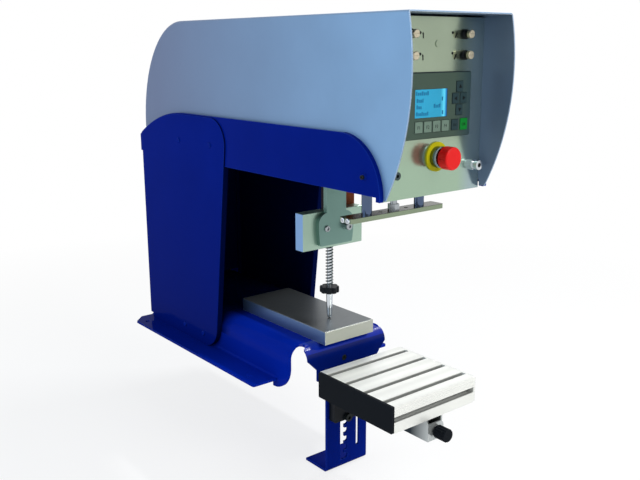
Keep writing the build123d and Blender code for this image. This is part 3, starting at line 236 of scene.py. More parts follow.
# %% Noise helpers
def noise(tree, scale, stretch=(1.0, 1.0, 1.0)):
    """Noise in the object's own metres, finer along an axis with a larger stretch."""
    place = tree.nodes.new("ShaderNodeTexCoord")
    mapping = tree.nodes.new("ShaderNodeMapping")
    mapping.inputs["Scale"].default_value = stretch
    pattern = tree.nodes.new("ShaderNodeTexNoise")
    pattern.inputs["Scale"].default_value = scale
    pattern.inputs["Detail"].default_value = 3.0
    tree.links.new(place.outputs["Object"], mapping.inputs["Vector"])
    tree.links.new(mapping.outputs["Vector"], pattern.inputs["Vector"])
    return pattern.outputs["Fac"]


def spread(tree, source, start, end, low, high):
    """The source's range from start to end, spread over low to high."""
    ranged = tree.nodes.new("ShaderNodeMapRange")
    ranged.inputs["From Min"].default_value = start
    ranged.inputs["From Max"].default_value = end
    ranged.inputs["To Min"].default_value = low
    ranged.inputs["To Max"].default_value = high
    tree.links.new(source, ranged.inputs["Value"])
    return ranged.outputs["Result"]


def blend_colour(tree, factor, first, second):
    """A mix of two colours, each a colour or a socket."""
    mix = tree.nodes.new("ShaderNodeMix")
    mix.data_type = "RGBA"
    tree.links.new(factor, mix.inputs["Factor"])
    for name, colour in (("A", first), ("B", second)):
        if isinstance(colour, tuple):
            mix.inputs[name].default_value = (*colour, 1.0)
        else:
            tree.links.new(colour, mix.inputs[name])
    return mix.outputs["Result"]


# %% [markdown]
# Bends and cut edges catch more light than flat faces, so most finishes paint them lighter:
# a painted highlight, and on paint also the thinner paint there. The Bevel node rounds the
# normal near an edge without changing the mesh, so where it differs from the true normal
# there is an edge to colour. It costs a few extra rays per pixel, and 4 samples are enough
# for a soft line.


# %% Edge helper
edge_is_full, edge_is_none = 0.80, 0.98


def edge_mask(tree, width):
    """1 at the piece's edges and 0 on its faces."""
    rounded = tree.nodes.new("ShaderNodeBevel")
    rounded.samples = 4
    rounded.inputs["Radius"].default_value = width
    true = tree.nodes.new("ShaderNodeNewGeometry")
    match = tree.nodes.new("ShaderNodeVectorMath")
    match.operation = "DOT_PRODUCT"
    tree.links.new(rounded.outputs["Normal"], match.inputs[0])
    tree.links.new(true.outputs["Normal"], match.inputs[1])
    return spread(tree, match.outputs["Value"], edge_is_none, edge_is_full, 0.0, 1.0)


# %% [markdown]
# Every finish is made by one function, so that the finishes differ only in their numbers.
# A broad noise makes the colour a little darker or lighter from place to place. A fine
# noise does the same to the roughness and gives a relief that only the light sees.


# %% Finish helper
broad_scale = 9.0
noise_range = (0.3, 0.7)
rough_swing = 0.15
relief_depth = 0.0004


def finish(name, colour, metal, rough, gloss=0.3, grain=400.0, stretch=(1.0, 1.0, 1.0),
           bump=0.02, shade=0.06, edge=None, edge_width=0.0006):
    """A node material whose colour, roughness and bump all vary a little."""
    material = bpy.data.materials.new(name)
    material.use_nodes = True
    tree = material.node_tree
    shader = tree.nodes["Principled BSDF"]
    shader.inputs["Metallic"].default_value = metal
    shader.inputs["Specular IOR Level"].default_value = gloss
    fine = noise(tree, grain, stretch)
    broad = spread(tree, noise(tree, broad_scale), *noise_range, 0.0, 1.0)
    dark = tuple(channel * (1.0 - shade) for channel in colour)
    light = tuple(min(channel * (1.0 + shade), 1.0) for channel in colour)
    tone = blend_colour(tree, broad, dark, light)
    # Where the edge colour is lighter than the finish, it is a painted highlight along the
    # edges.
    if edge:
        tone = blend_colour(tree, edge_mask(tree, edge_width), tone, edge)
    tree.links.new(tone, shader.inputs["Base Color"])
    roughness = spread(tree, fine, *noise_range, rough * (1 - rough_swing),
                       rough * (1 + rough_swing))
    tree.links.new(roughness, shader.inputs["Roughness"])
    relief = tree.nodes.new("ShaderNodeBump")
    relief.inputs["Strength"].default_value = bump
    relief.inputs["Distance"].default_value = relief_depth
    tree.links.new(fine, relief.inputs["Height"])
    tree.links.new(relief.outputs["Normal"], shader.inputs["Normal"])
    return material


def dress(material, *names):
    """Gives CAD nodes a finish."""
    for name in names:
        for place in nodes[name].material_slots:
            place.material = material
    print(material.name, "on", ", ".join(names))


# %% [markdown]
# ## Masks
# One solid often needs more than one tone: a sheet is painted dark on its inside, a painted
# shade, a block's end is painted bluer, a painted light, and a plate's top is painted dark, a
# painted reflection. The solid stays whole, and a mask says where a tone goes.
# A mask is a number from 0 to 1 that is worked out from Object coordinates. These are the
# machine's own metres on a CAD solid, so a limit can be taken from the box of a node.


# %% Mask helpers
def object_axis(tree, axis):
    """One of the object's own coordinates, in metres."""
    place = tree.nodes.new("ShaderNodeTexCoord")
    axes = tree.nodes.new("ShaderNodeSeparateXYZ")
    tree.links.new(place.outputs["Object"], axes.inputs[0])
    return axes.outputs[axis]


def compared(tree, source, test, limit):
    """1 where the source passes the test against the limit."""
    answer = tree.nodes.new("ShaderNodeMath")
    answer.operation = test
    answer.inputs[1].default_value = limit
    tree.links.new(source, answer.inputs[0])
    return answer.outputs[0]


def below(tree, axis, limit):
    """1 where the coordinate is less than the limit."""
    return compared(tree, object_axis(tree, axis), "LESS_THAN", limit)


def above(tree, axis, limit):
    """1 where the coordinate is more than the limit."""
    return compared(tree, object_axis(tree, axis), "GREATER_THAN", limit)


def near_middle(tree, axis, limit):
    """1 where the machine's middle is nearer than the limit, along one axis."""
    size = tree.nodes.new("ShaderNodeMath")
    size.operation = "ABSOLUTE"
    tree.links.new(object_axis(tree, axis), size.inputs[0])
    return compared(tree, size.outputs[0], "LESS_THAN", limit)


def ramp(tree, axis, start, end):
    """0 at the start, 1 at the end, and an even rise between them."""
    return spread(tree, object_axis(tree, axis), start, end, 0.0, 1.0)


def all_of(tree, *masks):
    """1 where every one of the masks is 1."""
    result = masks[0]
    for mask in masks[1:]:
        product = tree.nodes.new("ShaderNodeMath")
        product.operation = "MULTIPLY"
        tree.links.new(result, product.inputs[0])
        tree.links.new(mask, product.inputs[1])
        result = product.outputs[0]
    return result


# %% [markdown]
# A mask is used in two ways: it lays a colour over a finish, or it lets one value of the
# shader differ between two places. A flat end face has no thickness, so its mask reaches
# a face skin deep under it, and then the whole face lies inside.

# %% Helpers that use a mask
face_skin = 0.0004


def lay_over(material, *layers):
    """Lays colours over a finish, each where its mask is 1, and the last one on top."""
    tree = material.node_tree
    base_colour = tree.nodes["Principled BSDF"].inputs["Base Color"]
    tone = base_colour.links[0].from_socket
    for mask, colour in layers:
        tone = blend_colour(tree, mask, tone, colour)
    tree.links.new(tone, base_colour)


def vary(material, socket, mask, low, high):
    """Sets a value of the shader to low where the mask is 0 and to high where it is 1."""
    tree = material.node_tree
    tree.links.new(spread(tree, mask, 0.0, 1.0, low, high),
                   tree.nodes["Principled BSDF"].inputs[socket])


# %% [markdown]
# ## Paint
# The base, the bracket, the columns and the arms are sheet steel in deep blue enamel. The
# blue is so dark that a strong gloss would wash it grey, so its specular level is low, and
# the lighter line along each bend is a painted highlight from the edge mask. Three materials
# share the paint, because the columns and the base each vary it in their own way, with
# painted shade and light.


# %% Blue enamel
def enamel(name, gloss=0.008):
    """The blue paint, before any mask is laid over it."""
    # The lighter edge colour is a painted highlight along the bends.
    return finish(name, (0.0010, 0.0120, 0.205), 0.0, 0.13, gloss=gloss, grain=900.0,
                  edge=(0.012, 0.045, 0.34), edge_width=0.0014)


blue_enamel = enamel("blue_enamel")
dress(blue_enamel, "table_bracket", "left_arm", "right_arm", "body_screws")

# %% [markdown]
# The columns and the rear panel form a deep box that is open only to the front. Their inner
# faces get little light, so their colour there is a painted shade, nearly black. A point is
# inside when it is nearer to the middle than the columns' outer faces, and in front of the
# rear panel's back. Toward the foot the outside is painted a little deeper too, a painted
# shade.

# %% Columns and rear panel
column_enamel = enamel("column_enamel", gloss=0.005)
column_face = -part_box("left_column")[0].x
rear_panel_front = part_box("rear_panel")[0].y
under_column_face = 0.001
into_rear_panel = 0.0015
foot_shade_height = 0.35

tree = column_enamel.node_tree
# Painted shade: nearly black inside the box, and deeper blue toward the foot.
inside = all_of(tree, near_middle(tree, "X", column_face - under_column_face),
                below(tree, "Y", rear_panel_front + into_rear_panel))
lay_over(column_enamel, (ramp(tree, "Z", foot_shade_height, 0.0), (0.0008, 0.0085, 0.150)),
         (inside, (0.0006, 0.0040, 0.045)))
dress(column_enamel, "left_column", "right_column", "rear_panel")

# %% [markdown]
# The base sheet's colour carries painted light and shade, from the dark under the hood to the
# light at the operator's side. Its deck is painted darker toward the back, its front is
# painted lighter, and its bent-down apron is painted in shade again. The printing plate lies
# on the deck, so most limits are measured from that plate.

# %% Base sheet
base_enamel = enamel("base_enamel")
plate_low, plate_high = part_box("cliche_plate")
apron_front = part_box("base_sheet")[0].y
apron_reach = 0.003
deck_depth = 0.03
front_light = (0.0, -0.12)
roof_shade = (-0.075, plate_high.y + 0.01)

tree = base_enamel.node_tree
under_roof_shade = all_of(tree, near_middle(tree, "X", column_face - under_column_face),
                    above(tree, "Z", plate_low.z - deck_depth), ramp(tree, "Y", *roof_shade))
# Painted light on the front, painted shade under the hood and on the apron.
lay_over(base_enamel, (ramp(tree, "Y", *front_light), (0.0012, 0.0165, 0.300)),
         (under_roof_shade, (0.0003, 0.0020, 0.022)),
         (below(tree, "Y", apron_front + apron_reach), (0.0010, 0.0090, 0.130)))
dress(base_enamel, "base_sheet")

# %% [markdown]
# The bend at the base's front shows a bright line where it mirrors a lamp, which the rest
# of the paint doesn't. So the bend alone gets a clear coat, which fades in over its height.
# A coat's weight may vary over a surface and is still exported, and a specular level isn't.

# %% Clear coat on the front bend
bend_behind_plate_front = 0.03
coat_starts = plate_low.z - 0.018
coat_is_full = plate_low.z - 0.003

front_bend = all_of(tree, below(tree, "Y", plate_low.y + bend_behind_plate_front),
                    ramp(tree, "Z", coat_starts, coat_is_full))
vary(base_enamel, "Coat Weight", front_bend, 0.0, 0.80)
tree.nodes["Principled BSDF"].inputs["Coat Roughness"].default_value = 0.13
print("coat from", round(coat_starts, 4), "to", round(coat_is_full, 4))

# %% [markdown]
# The hood is one folded sheet in satin silver-blue. Its inside is painted darker and greyer
# than its outside, a painted shade, though both are the same solid. Every inner face lies
# closer to the middle than the outer ones by the sheet's thickness, so three comparisons of
# Object coordinates find the inside. Toward the back it is painted a little darker, a
# painted shade, and its edges are painted bright, a painted highlight.

# %% Hood paint
hood_silver = finish("hood_silver", (0.205, 0.357, 0.556), 0.35, 0.42, grain=1300.0)
hood_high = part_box("hood")[1]
under_hood_face = 0.001
inside_ends_at = 0.05
back_shade = (-0.45, 0.15)
hood_highlight_edge = 0.0009

tree = hood_silver.node_tree
inside = all_of(tree, near_middle(tree, "X", hood_high.x - under_hood_face),
                below(tree, "Z", hood_high.z - under_hood_face),
                below(tree, "Y", inside_ends_at))
# Painted shade toward the back and on the inside, and a painted highlight along the edges.
lay_over(hood_silver, (ramp(tree, "Y", *back_shade), (0.134, 0.180, 0.300)),
         (inside, (0.150, 0.215, 0.320)), (edge_mask(tree, hood_highlight_edge), (0.62, 0.68, 0.76)))
dress(hood_silver, "hood")

# %% [markdown]
# ## Bare metal
# Each bare metal is a metal shader, so it takes its light from what it reflects, and its
# noise is drawn out along the direction of the tool. The control panel is brushed across.
# It is a little greener toward its foot, and at its right, next to the hood's side, it is
# painted bluer, a painted reflection of that side.

# %% Brushed panel
panel_brushed = finish("panel_brushed", (0.335, 0.405, 0.300), 0.88, 0.18, grain=60.0,
                       stretch=(1.0, 1.0, 26.0), bump=0.008, shade=0.09)
foot_tint = (0.41, 0.36)
hood_reflection_x = (0.050, 0.075)
tree = panel_brushed.node_tree
# The bluer right part is a painted reflection of the hood's side.
lay_over(panel_brushed, (ramp(tree, "Z", *foot_tint), (0.345, 0.475, 0.355)),
         (ramp(tree, "X", *hood_reflection_x), (0.335, 0.435, 0.450)))
dress(panel_brushed, "front_panel")

# %% [markdown]
# The slide, the arm and the block at its foot are milled aluminium. The block is milled along
# and the others across. The block is painted lighter than the others, painted light, and its
# left end is painted bluer than its faces, painted blue light from the left. The pad plate's
# top is less metallic, so it mirrors less of the room, and its colour is painted dark, a
# painted reflection of the dark head above it; its lighter edges are painted highlights. The
# chassis plates behind them are plain grey.

# %% Milled aluminium
milled = finish("milled", (0.16, 0.27, 0.24), 0.88, 0.36, grain=50.0,
                stretch=(1.0, 1.0, 22.0), bump=0.04, edge=(0.34, 0.44, 0.42))
dress(milled, "carriage_plate", "pad_cylinder", "arm_hanger", "cup_arm",
      "slide_bearings", "shaft_supports")

# A lighter copy of the milled finish: painted light on the block.
milled_block_lit = finish("milled_block_lit", (0.35, 0.49, 0.40), 0.88, 0.36, grain=50.0,
                      stretch=(22.0, 1.0, 1.0), bump=0.04, edge=(0.40, 0.50, 0.48))
# The bluer left end is painted blue light.
blue_lit_left_face = below(milled_block_lit.node_tree, "X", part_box("cup_block")[0].x + face_skin)
lay_over(milled_block_lit, (blue_lit_left_face, (0.20, 0.35, 0.62)))
dress(milled_block_lit, "cup_block")

pad_plate_metal = finish("pad_plate_metal", (0.25, 0.31, 0.213), 0.95, 0.22, grain=50.0,
                         stretch=(1.0, 22.0, 22.0), bump=0.03, edge=(0.50, 0.55, 0.46))
# The dark top is a painted reflection of the dark head above it.
top_face = above(pad_plate_metal.node_tree, "Z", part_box("pad_plate")[1].z - face_skin)
lay_over(pad_plate_metal, (top_face, (0.030, 0.038, 0.018)))
vary(pad_plate_metal, "Metallic", top_face, 0.95, 0.35)
dress(pad_plate_metal, "pad_plate")

chassis_grey = finish("chassis_grey", (0.035, 0.042, 0.055), 0.4, 0.5)
dress(chassis_grey, "chassis_plates")

# %% [markdown]
# The table is a pale anodised profile. Extrusion leaves fine lines along it, which a Wave
# texture draws: its bands follow each other across the profile, so each line runs along it.
# The slots are in shade, and a slot is all that lies a little under the top and behind the
# front. The wave would stripe the cap at the far end, so that cap has a plain finish.

# %% Table profile
end_pale = finish("end_pale", (0.80, 0.81, 0.78), 0.4, 0.35, edge=(0.25, 0.28, 0.33))
dress(end_pale, "far_end_caps")

table_pale = finish("table_pale", (0.88, 0.89, 0.85), 0.50, 0.30, grain=40.0,
                    stretch=(0.05, 1.0, 1.0), bump=0.03, shade=0.08, edge=(0.90, 0.90, 0.88))
table_low, table_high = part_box("table_profile")
slot_depth = 0.0012
tree = table_pale.node_tree
grooves = tree.nodes.new("ShaderNodeTexWave")
grooves.bands_direction = "Y"
grooves.inputs["Scale"].default_value = 14.0
grooves.inputs["Distortion"].default_value = 0.4
in_place = tree.nodes.new("ShaderNodeTexCoord")
tree.links.new(in_place.outputs["Object"], grooves.inputs["Vector"])
faint_grooves = spread(tree, grooves.outputs["Fac"], 0.0, 1.0, 0.0, 0.30)
in_slot = all_of(tree, below(tree, "Z", table_high.z - slot_depth),
                 above(tree, "Y", table_low.y + slot_depth),
                 near_middle(tree, "X", table_high.x))
lay_over(table_pale, (faint_grooves, (0.62, 0.63, 0.60)), (in_slot, (0.42, 0.43, 0.42)))
dress(table_pale, "table_profile")

# %% [markdown]
# The clamp channel under the table is a bright U. Its web lies deep between its sides, in
# shade, so its colour is painted darker from its mouth inward, a painted shade.

# %% Clamp channel
channel_bright = finish("channel_bright", (0.50, 0.53, 0.53), 0.7, 0.30, grain=60.0,
                        stretch=(1.0, 0.1, 1.0))
channel_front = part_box("clamp_channel")[0].y
channel_depth = 0.035
# Painted shade, deepening from the channel's mouth inward.
inward = ramp(channel_bright.node_tree, "Y", channel_front, channel_front + channel_depth)
lay_over(channel_bright, (inward, (0.010, 0.020, 0.030)))
dress(channel_bright, "clamp_channel")

# %% [markdown]
# The plate in the base is ground steel, dark and smooth on top. Its front end is painted
# pale, painted light, its left side is painted blue, a painted reflection, and its edges are
# painted bright, a painted highlight. Each of the faces is found by one comparison with the
# plate's box.

# %% Printing plate
ground_steel = finish("ground_steel", (0.14, 0.155, 0.165), 0.90, 0.38, grain=60.0,
                      stretch=(1.0, 20.0, 20.0))
plate_highlight_edge = 0.0007
tree = ground_steel.node_tree
# Painted light on the front end, a painted reflection on the left side, and painted
# highlights on the edges.
lay_over(ground_steel, (below(tree, "Y", plate_low.y + face_skin), (0.42, 0.44, 0.39)),
         (below(tree, "X", plate_low.x + face_skin), (0.12, 0.20, 0.36)),
         (edge_mask(tree, plate_highlight_edge), (0.75, 0.77, 0.72)))
dress(ground_steel, "cliche_plate")

# %% [markdown]
# Turned and chromed parts are the same shader with less roughness, and their colour is what
# tells steel, chrome and anodising apart. On a metal, Specular Tint colours what is seen at
# a flat angle, so a dark tint keeps the rim of the chromed spindle from fading into white.

# %% Turned steel, chrome and anodising
plain_steel = finish("plain_steel", (0.38, 0.41, 0.43), 1.0, 0.28)
dress(plain_steel, "slide_shafts", "travel_rod", "pad_rod", "guide_bushes", "arm_screws",
      "rod_nut")

# The guide rods' dark blue colour is a painted dark reflection.
guide_steel = finish("guide_steel", (0.085, 0.12, 0.20), 1.0, 0.12, bump=0.005)
dress(guide_steel, "guide_rods")

bright_chrome = finish("bright_chrome", (0.62, 0.66, 0.70), 1.0, 0.10, bump=0.005)
chrome_shader = bright_chrome.node_tree.nodes["Principled BSDF"]
chrome_shader.inputs["Specular Tint"].default_value = (0.20, 0.26, 0.34, 1.0)
dress(bright_chrome, "cup_spindle")

# The stop's bezel is chrome painted dark, a painted dark reflection, with painted highlights
# along its edges.
chrome_dark_reflection = finish("chrome_dark_reflection", (0.15, 0.19, 0.21), 1.0, 0.14, bump=0.005,
                     edge=(0.75, 0.80, 0.82))
dress(chrome_dark_reflection, "estop_bezel")

black_anodised = finish("black_anodised", (0.006, 0.008, 0.011), 0.0, 0.38, gloss=0.10,
                        edge=(0.03, 0.035, 0.045))
dress(black_anodised, "table_carrier", "travel_cylinder", "ring_nut", "valve_collars")

# %% [markdown]
# The valve knobs and the panel's fittings need more than one finish each. A knob is a black
# knurled sleeve with a pale nickel end, and only the end is metal. Of the fittings, the
# blanking plug is as dull as the panel, the left socket is dark and the right one is
# bright. A mask on one coordinate parts them.

# %% Valve knobs and panel fittings
valve_nickel = finish("valve_nickel", (0.52, 0.47, 0.35), 0.8, 0.3, gloss=0.1)
nickel_length = 0.0050
sleeve_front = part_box("valve_knob_1")[0].y + nickel_length
sleeve = above(valve_nickel.node_tree, "Y", sleeve_front)
lay_over(valve_nickel, (sleeve, (0.004, 0.005, 0.006)))
vary(valve_nickel, "Metallic", sleeve, 0.8, 0.0)
dress(valve_nickel, "valve_knob_1", "valve_knob_2", "valve_knob_3", "valve_knob_4")

panel_fittings = finish("panel_fittings", (0.60, 0.64, 0.66), 1.0, 0.16, bump=0.005)
between_sockets = -0.03
under_plug = 0.45
tree = panel_fittings.node_tree
left_socket = below(tree, "X", between_sockets)
plug = above(tree, "Z", under_plug)
lay_over(panel_fittings, (left_socket, (0.06, 0.085, 0.085)), (plug, (0.30, 0.36, 0.27)))
dress(panel_fittings, "panel_sockets")

# %% [markdown]
# ## Plastics
# The table's caps and the clamp knob are black mouldings. The bearing plate behind the arm
# is brown phenolic, a laminate that is cut with a saw, and its left end is coloured nearly
# black. Plastic isn't a metal, so its shine is white and weak, and roughness does the rest.

# %% Black mouldings and the phenolic plate
black_moulded = finish("black_moulded", (0.006, 0.008, 0.011), 0.0, 0.45, gloss=0.03,
                       edge=(0.02, 0.022, 0.028))
dress(black_moulded, "end_caps", "clamp_knob")

phenolic = finish("phenolic", (0.24, 0.045, 0.006), 0.0, 0.45, gloss=0.15, grain=60.0,
                  stretch=(1.0, 1.0, 0.1), shade=0.15)
# Colours the plate's left end nearly black.
dark_left_end = below(phenolic.node_tree, "X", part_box("backing_plate")[0].x + face_skin)
lay_over(phenolic, (dark_left_end, (0.012, 0.008, 0.012)))
dress(phenolic, "backing_plate")

# %% [markdown]
# The display's case is a grey-green moulding with a fine grain. Its right part is painted
# bluer, a painted reflection of the hood's side, and its top and right edges are painted dark
# lines, a painted shade, which two masks at the ends of its box draw; its other edges are a
# little darker too. Its keys are the same plastic in three colours.

# %% Display case and keys
display_case = finish("display_case", (0.047, 0.075, 0.058), 0.0, 0.5, gloss=0.12,
                      grain=1500.0, bump=0.05, edge=(0.014, 0.024, 0.022), edge_width=0.0018)
case_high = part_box("display_housing")[1]
case_hood_reflection_x = (0.030, 0.064)
case_edge = 0.0012
case_dark = (0.004, 0.012, 0.018)
tree = display_case.node_tree
# A painted reflection of the hood at the right, and painted shade along the top and right
# edges.
lay_over(display_case, (ramp(tree, "X", *case_hood_reflection_x), (0.022, 0.045, 0.055)),
         (above(tree, "X", case_high.x - case_edge), case_dark),
         (above(tree, "Z", case_high.z - case_edge), case_dark))
dress(display_case, "display_housing")

key_grey = finish("key_grey", (0.124, 0.184, 0.148), 0.0, 0.5, gloss=0.15,
                  edge=(0.08, 0.12, 0.09))
dress(key_grey, "function_key_1", "function_key_2", "function_key_3", "function_key_4")

key_dark = finish("key_dark", (0.016, 0.036, 0.042), 0.0, 0.5, gloss=0.12,
                  edge=(0.018, 0.030, 0.035))
dress(key_dark, "up_key", "down_key", "left_key", "right_key", "escape_key")

key_green = finish("key_green", (0.0, 0.17, 0.018), 0.0, 0.45, gloss=0.12,
                   edge=(0.0, 0.24, 0.03))
dress(key_green, "confirm_key")

# %% [markdown]
# The emergency stop is a red mushroom on a yellow ring, in the two colours that a standard
# gives it. The red has a fine grain, which keeps its highlight soft.

# %% Emergency stop
stop_red = finish("stop_red", (0.66, 0.006, 0.006), 0.0, 0.34, gloss=0.2, grain=1200.0,
                  bump=0.03, edge=(0.80, 0.03, 0.03))
dress(stop_red, "estop_button")

stop_yellow = finish("stop_yellow", (0.47, 0.42, 0.004), 0.0, 0.45, gloss=0.1)
dress(stop_yellow, "estop_collar")

# %% [markdown]
# The display is a backlit window. Its light isn't even: there is a bright band near its
# right side, and a dark strip beyond it. A colour ramp along the window's width draws all
# of it, and the window needs no picture and no lamp behind it.

# %% Display window
display_blue = finish("display_blue", (0.018, 0.30, 0.50), 0.0, 0.2, gloss=0.2)
window_low, window_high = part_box("display_window")
left_end = (0.022, 0.33, 0.56, 1.0)
right_end = (0.004, 0.07, 0.30, 1.0)
between = ((0.80, (0.018, 0.30, 0.50, 1.0)), (0.91, (0.10, 0.62, 0.86, 1.0)),
           (0.965, (0.012, 0.22, 0.50, 1.0)))

tree = display_blue.node_tree
screen = tree.nodes.new("ShaderNodeValToRGB")
stops = screen.color_ramp.elements
stops[0].color = left_end
stops[1].color = right_end
for place, colour in between:
    stops.new(place).color = colour
tree.links.new(ramp(tree, "X", window_low.x, window_high.x), screen.inputs["Fac"])
tree.links.new(screen.outputs["Color"], tree.nodes["Principled BSDF"].inputs["Base Color"])
dress(display_blue, "display_window")

# %% [markdown]
# ## Small marks
# Printed marks are a tenth of a millimetre of ink. Each is a thin block or prism that is
# made lying flat and then stood up to face the operator, by one matrix that turns its top
# to the front. Places and sizes of marks are in millimetres, as one would measure them on
# the panel.

# %% Marks helpers
ink = finish("ink", (0.006, 0.008, 0.009), 0.0, 0.5, gloss=0.05)
ink_depth = 0.00012


def facing_front(x, y, z):
    """Turns what was made lying flat to face the operator, at a place in millimetres."""
    return (Matrix.Translation((x / 1000, y / 1000, z / 1000))
            @ Matrix.Rotation(pi / 2, 4, "X"))


def block(mesh, place, width, height):
    """A thin block of ink, its back on the place."""
    sized = Matrix.Diagonal((width / 1000, height / 1000, ink_depth, 1.0))
    raised = Matrix.Translation((0.0, 0.0, ink_depth / 2))
    bmesh.ops.create_cube(mesh, size=1.0, matrix=place @ raised @ sized)


def prism(mesh, place, radius, sides, turn=0.0):
    """A flat disc or triangle of ink, its back on the place."""
    raised = Matrix.Translation((0.0, 0.0, ink_depth / 2)) @ Matrix.Rotation(turn, 4, "Z")
    bmesh.ops.create_cone(mesh, cap_ends=True, segments=sides, radius1=radius / 1000,
                          radius2=radius / 1000, depth=ink_depth, matrix=place @ raised)


# %% [markdown]
# A finished mesh becomes an object in one helper. The helper also says which body of the
# machine the piece rides on, because a mark on a moving part has to move with it, and
# which kind of finish the piece has.


# %% Piece helper
def piece(name, mesh, material, body):
    """Makes an object of the mesh, and says what it rides on."""
    bmesh.ops.recalc_face_normals(mesh, faces=mesh.faces)
    data = bpy.data.meshes.new(name)
    mesh.to_mesh(data)
    mesh.free()
    data.materials.append(material)
    made = bpy.data.objects.new(name, data)
    bpy.context.scene.collection.objects.link(made)
    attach(made, body)
    print(name, "faces", len(data.polygons), "rides on", body)
    return made


# %% [markdown]
# The display shows a few rows of text, too small to read. A row is a line of small blocks
# of unlike widths, and every third block is taller, as a capital is. So the rows look like
# words from a distance and spell nothing.

# %% Rows on the display
rows = ((-41.5, 456.4, (2.2, 3.0, 2.4, 3.2, 3.0, 1.6, 2.6)),
        (-40.0, 447.2, (2.8, 2.0, 3.0, 2.0)),
        (-40.0, 439.0, (2.4, 3.0, 2.0)),
        (-40.5, 430.2, (2.8, 1.4, 3.0, 2.2, 2.6, 3.0, 2.0)),
        (6.6, 448.4, (2.6,)),
        (-8.0, 439.5, (3.0, 2.0, 1.6, 3.2)),
        (7.6, 430.5, (2.6,)))
capital_height = 5.2
small_height = 3.8
foot_below_middle = 2.4
letter_gap = 0.9

screen_ink = finish("screen_ink", (0.010, 0.15, 0.30), 0.0, 0.4, gloss=0.1)
window_face = window_low.y * 1000
mesh = bmesh.new()
for left, row_middle, widths in rows:
    foot = row_middle - foot_below_middle
    for number, width in enumerate(widths):
        tall = capital_height if number % 3 == 0 else small_height
        block(mesh, facing_front(left + width / 2, window_face, foot + tall / 2), width, tall)
        left += width + letter_gap
piece("display_rows", mesh, screen_ink, "frame")

# %% [markdown]
# Beside each valve a dot and a leaning arrow are printed on the panel. The arrow is a short
# bar with a three-sided prism at its upper end.

# %% Marks beside the valves
dots = ((31.4, 533.1), (32.0, 506.6), (-29.3, 532.6), (-28.6, 506.0))
dot_radius = 1.9
dot_sides = 16
leaning_bars = ((38.0, 529.1, -0.6), (37.3, 501.4, -0.6),
                (-24.0, 528.8, 0.1), (-23.7, 501.2, 0.1))
bar_width, bar_height = 2.0, 6.4
head_radius = 2.0
head_rise = 3.0

panel_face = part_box("front_panel")[0].y * 1000
mesh = bmesh.new()
for x, z in dots:
    prism(mesh, facing_front(x, panel_face, z), dot_radius, dot_sides)
for x, z, lean in leaning_bars:
    bar = facing_front(x, panel_face, z) @ Matrix.Rotation(lean, 4, "Z")
    block(mesh, bar, bar_width, bar_height)
    head = bar @ Matrix.Translation((0.0, head_rise / 1000, 0.0))
    prism(mesh, head, head_radius, 3)
piece("valve_marks", mesh, ink, "frame")

# %% [markdown]
# The four keys beside the window are arrows. One triangle serves for all, turned by a
# quarter turn for each. A mark on a key rides on that key, because the key moves.

# %% Arrows on the keys
arrows = {"up_key": (41.3, 463.2, 0.0), "down_key": (41.2, 433.2, pi),
          "left_key": (33.4, 447.9, pi / 2), "right_key": (48.4, 448.0, -pi / 2)}
arrow_radius = 3.4

key_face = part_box("up_key")[0].y * 1000
for name, (x, z, turn) in arrows.items():
    mesh = bmesh.new()
    prism(mesh, facing_front(x, key_face, z), arrow_radius, 3, turn)
    piece(name + "_mark", mesh, ink, name)


# %% [markdown]
# The four function keys carry plain numbers after an F, and the last two keys a word each.
# Letters come from a text curve, which is turned into a mesh and only then moved, so that
# the piece keeps its origin. The letters' shared points are merged, so each is closed.

# %% Letters on the keys
def letters(name, words, height, x, z, body):
    """Plain raised words on a key, centred at a place in millimetres."""
    curve = bpy.data.curves.new(name, "FONT")
    curve.body = words
    curve.size = height / 1000
    curve.extrude = ink_depth / 2
    curve.align_x = "CENTER"
    curve.align_y = "CENTER"
    words_object = bpy.data.objects.new(name + "_text", curve)
    bpy.context.scene.collection.objects.link(words_object)
    bpy.context.view_layer.update()
    mesh = bmesh.new()
    mesh.from_mesh(words_object.to_mesh())
    words_object.to_mesh_clear()
    bpy.data.objects.remove(words_object)
    bmesh.ops.remove_doubles(mesh, verts=mesh.verts, dist=1e-7)
    place = facing_front(x, key_face, z) @ Matrix.Translation((0.0, 0.0, ink_depth / 2))
    bmesh.ops.transform(mesh, matrix=place, verts=mesh.verts)
    piece(name, mesh, ink, body)


key_words = {"function_key_1": ("F1", 6.0), "function_key_2": ("F2", 6.0),
             "function_key_3": ("F3", 6.0), "function_key_4": ("F4", 6.0),
             "escape_key": ("ESC", 4.6), "confirm_key": ("OK", 5.4)}
word_line = 412.6
for key, (words, height) in key_words.items():
    low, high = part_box(key)
    key_middle = (low.x + high.x) / 2 * 1000
    letters(key + "_mark", words, height, key_middle, word_line, key)


# %% [markdown]
# ## Screws
# A socket screw is a turned head with a rounded top edge and a recess for the key. It starts
# as a cone with equal ends, its top edge is bevelled, and the recess is an inset of the top
# face that is pushed down. The heads are so small that a round recess does for a hexagonal
# one. Each head is made on its own and then joined to its piece, so the operators that look
# for its top face find no other. The edge's round and the wall round the recess are shares
# of the radius, and the recess's depth is a share of the height.

# %% Socket screws
head_sides = 24
rounded_share = 0.14
wall_share = 0.36
recess_share = 0.5


def join(mesh, part):
    """Adds a finished part to a mesh, and frees the part."""
    shape = bpy.data.meshes.new("part")
    part.to_mesh(shape)
    part.free()
    mesh.from_mesh(shape)
    bpy.data.meshes.remove(shape)


def top_face_of(part):
    """The face whose middle is highest."""
    return max(part.faces, key=lambda face: face.calc_center_median().z)


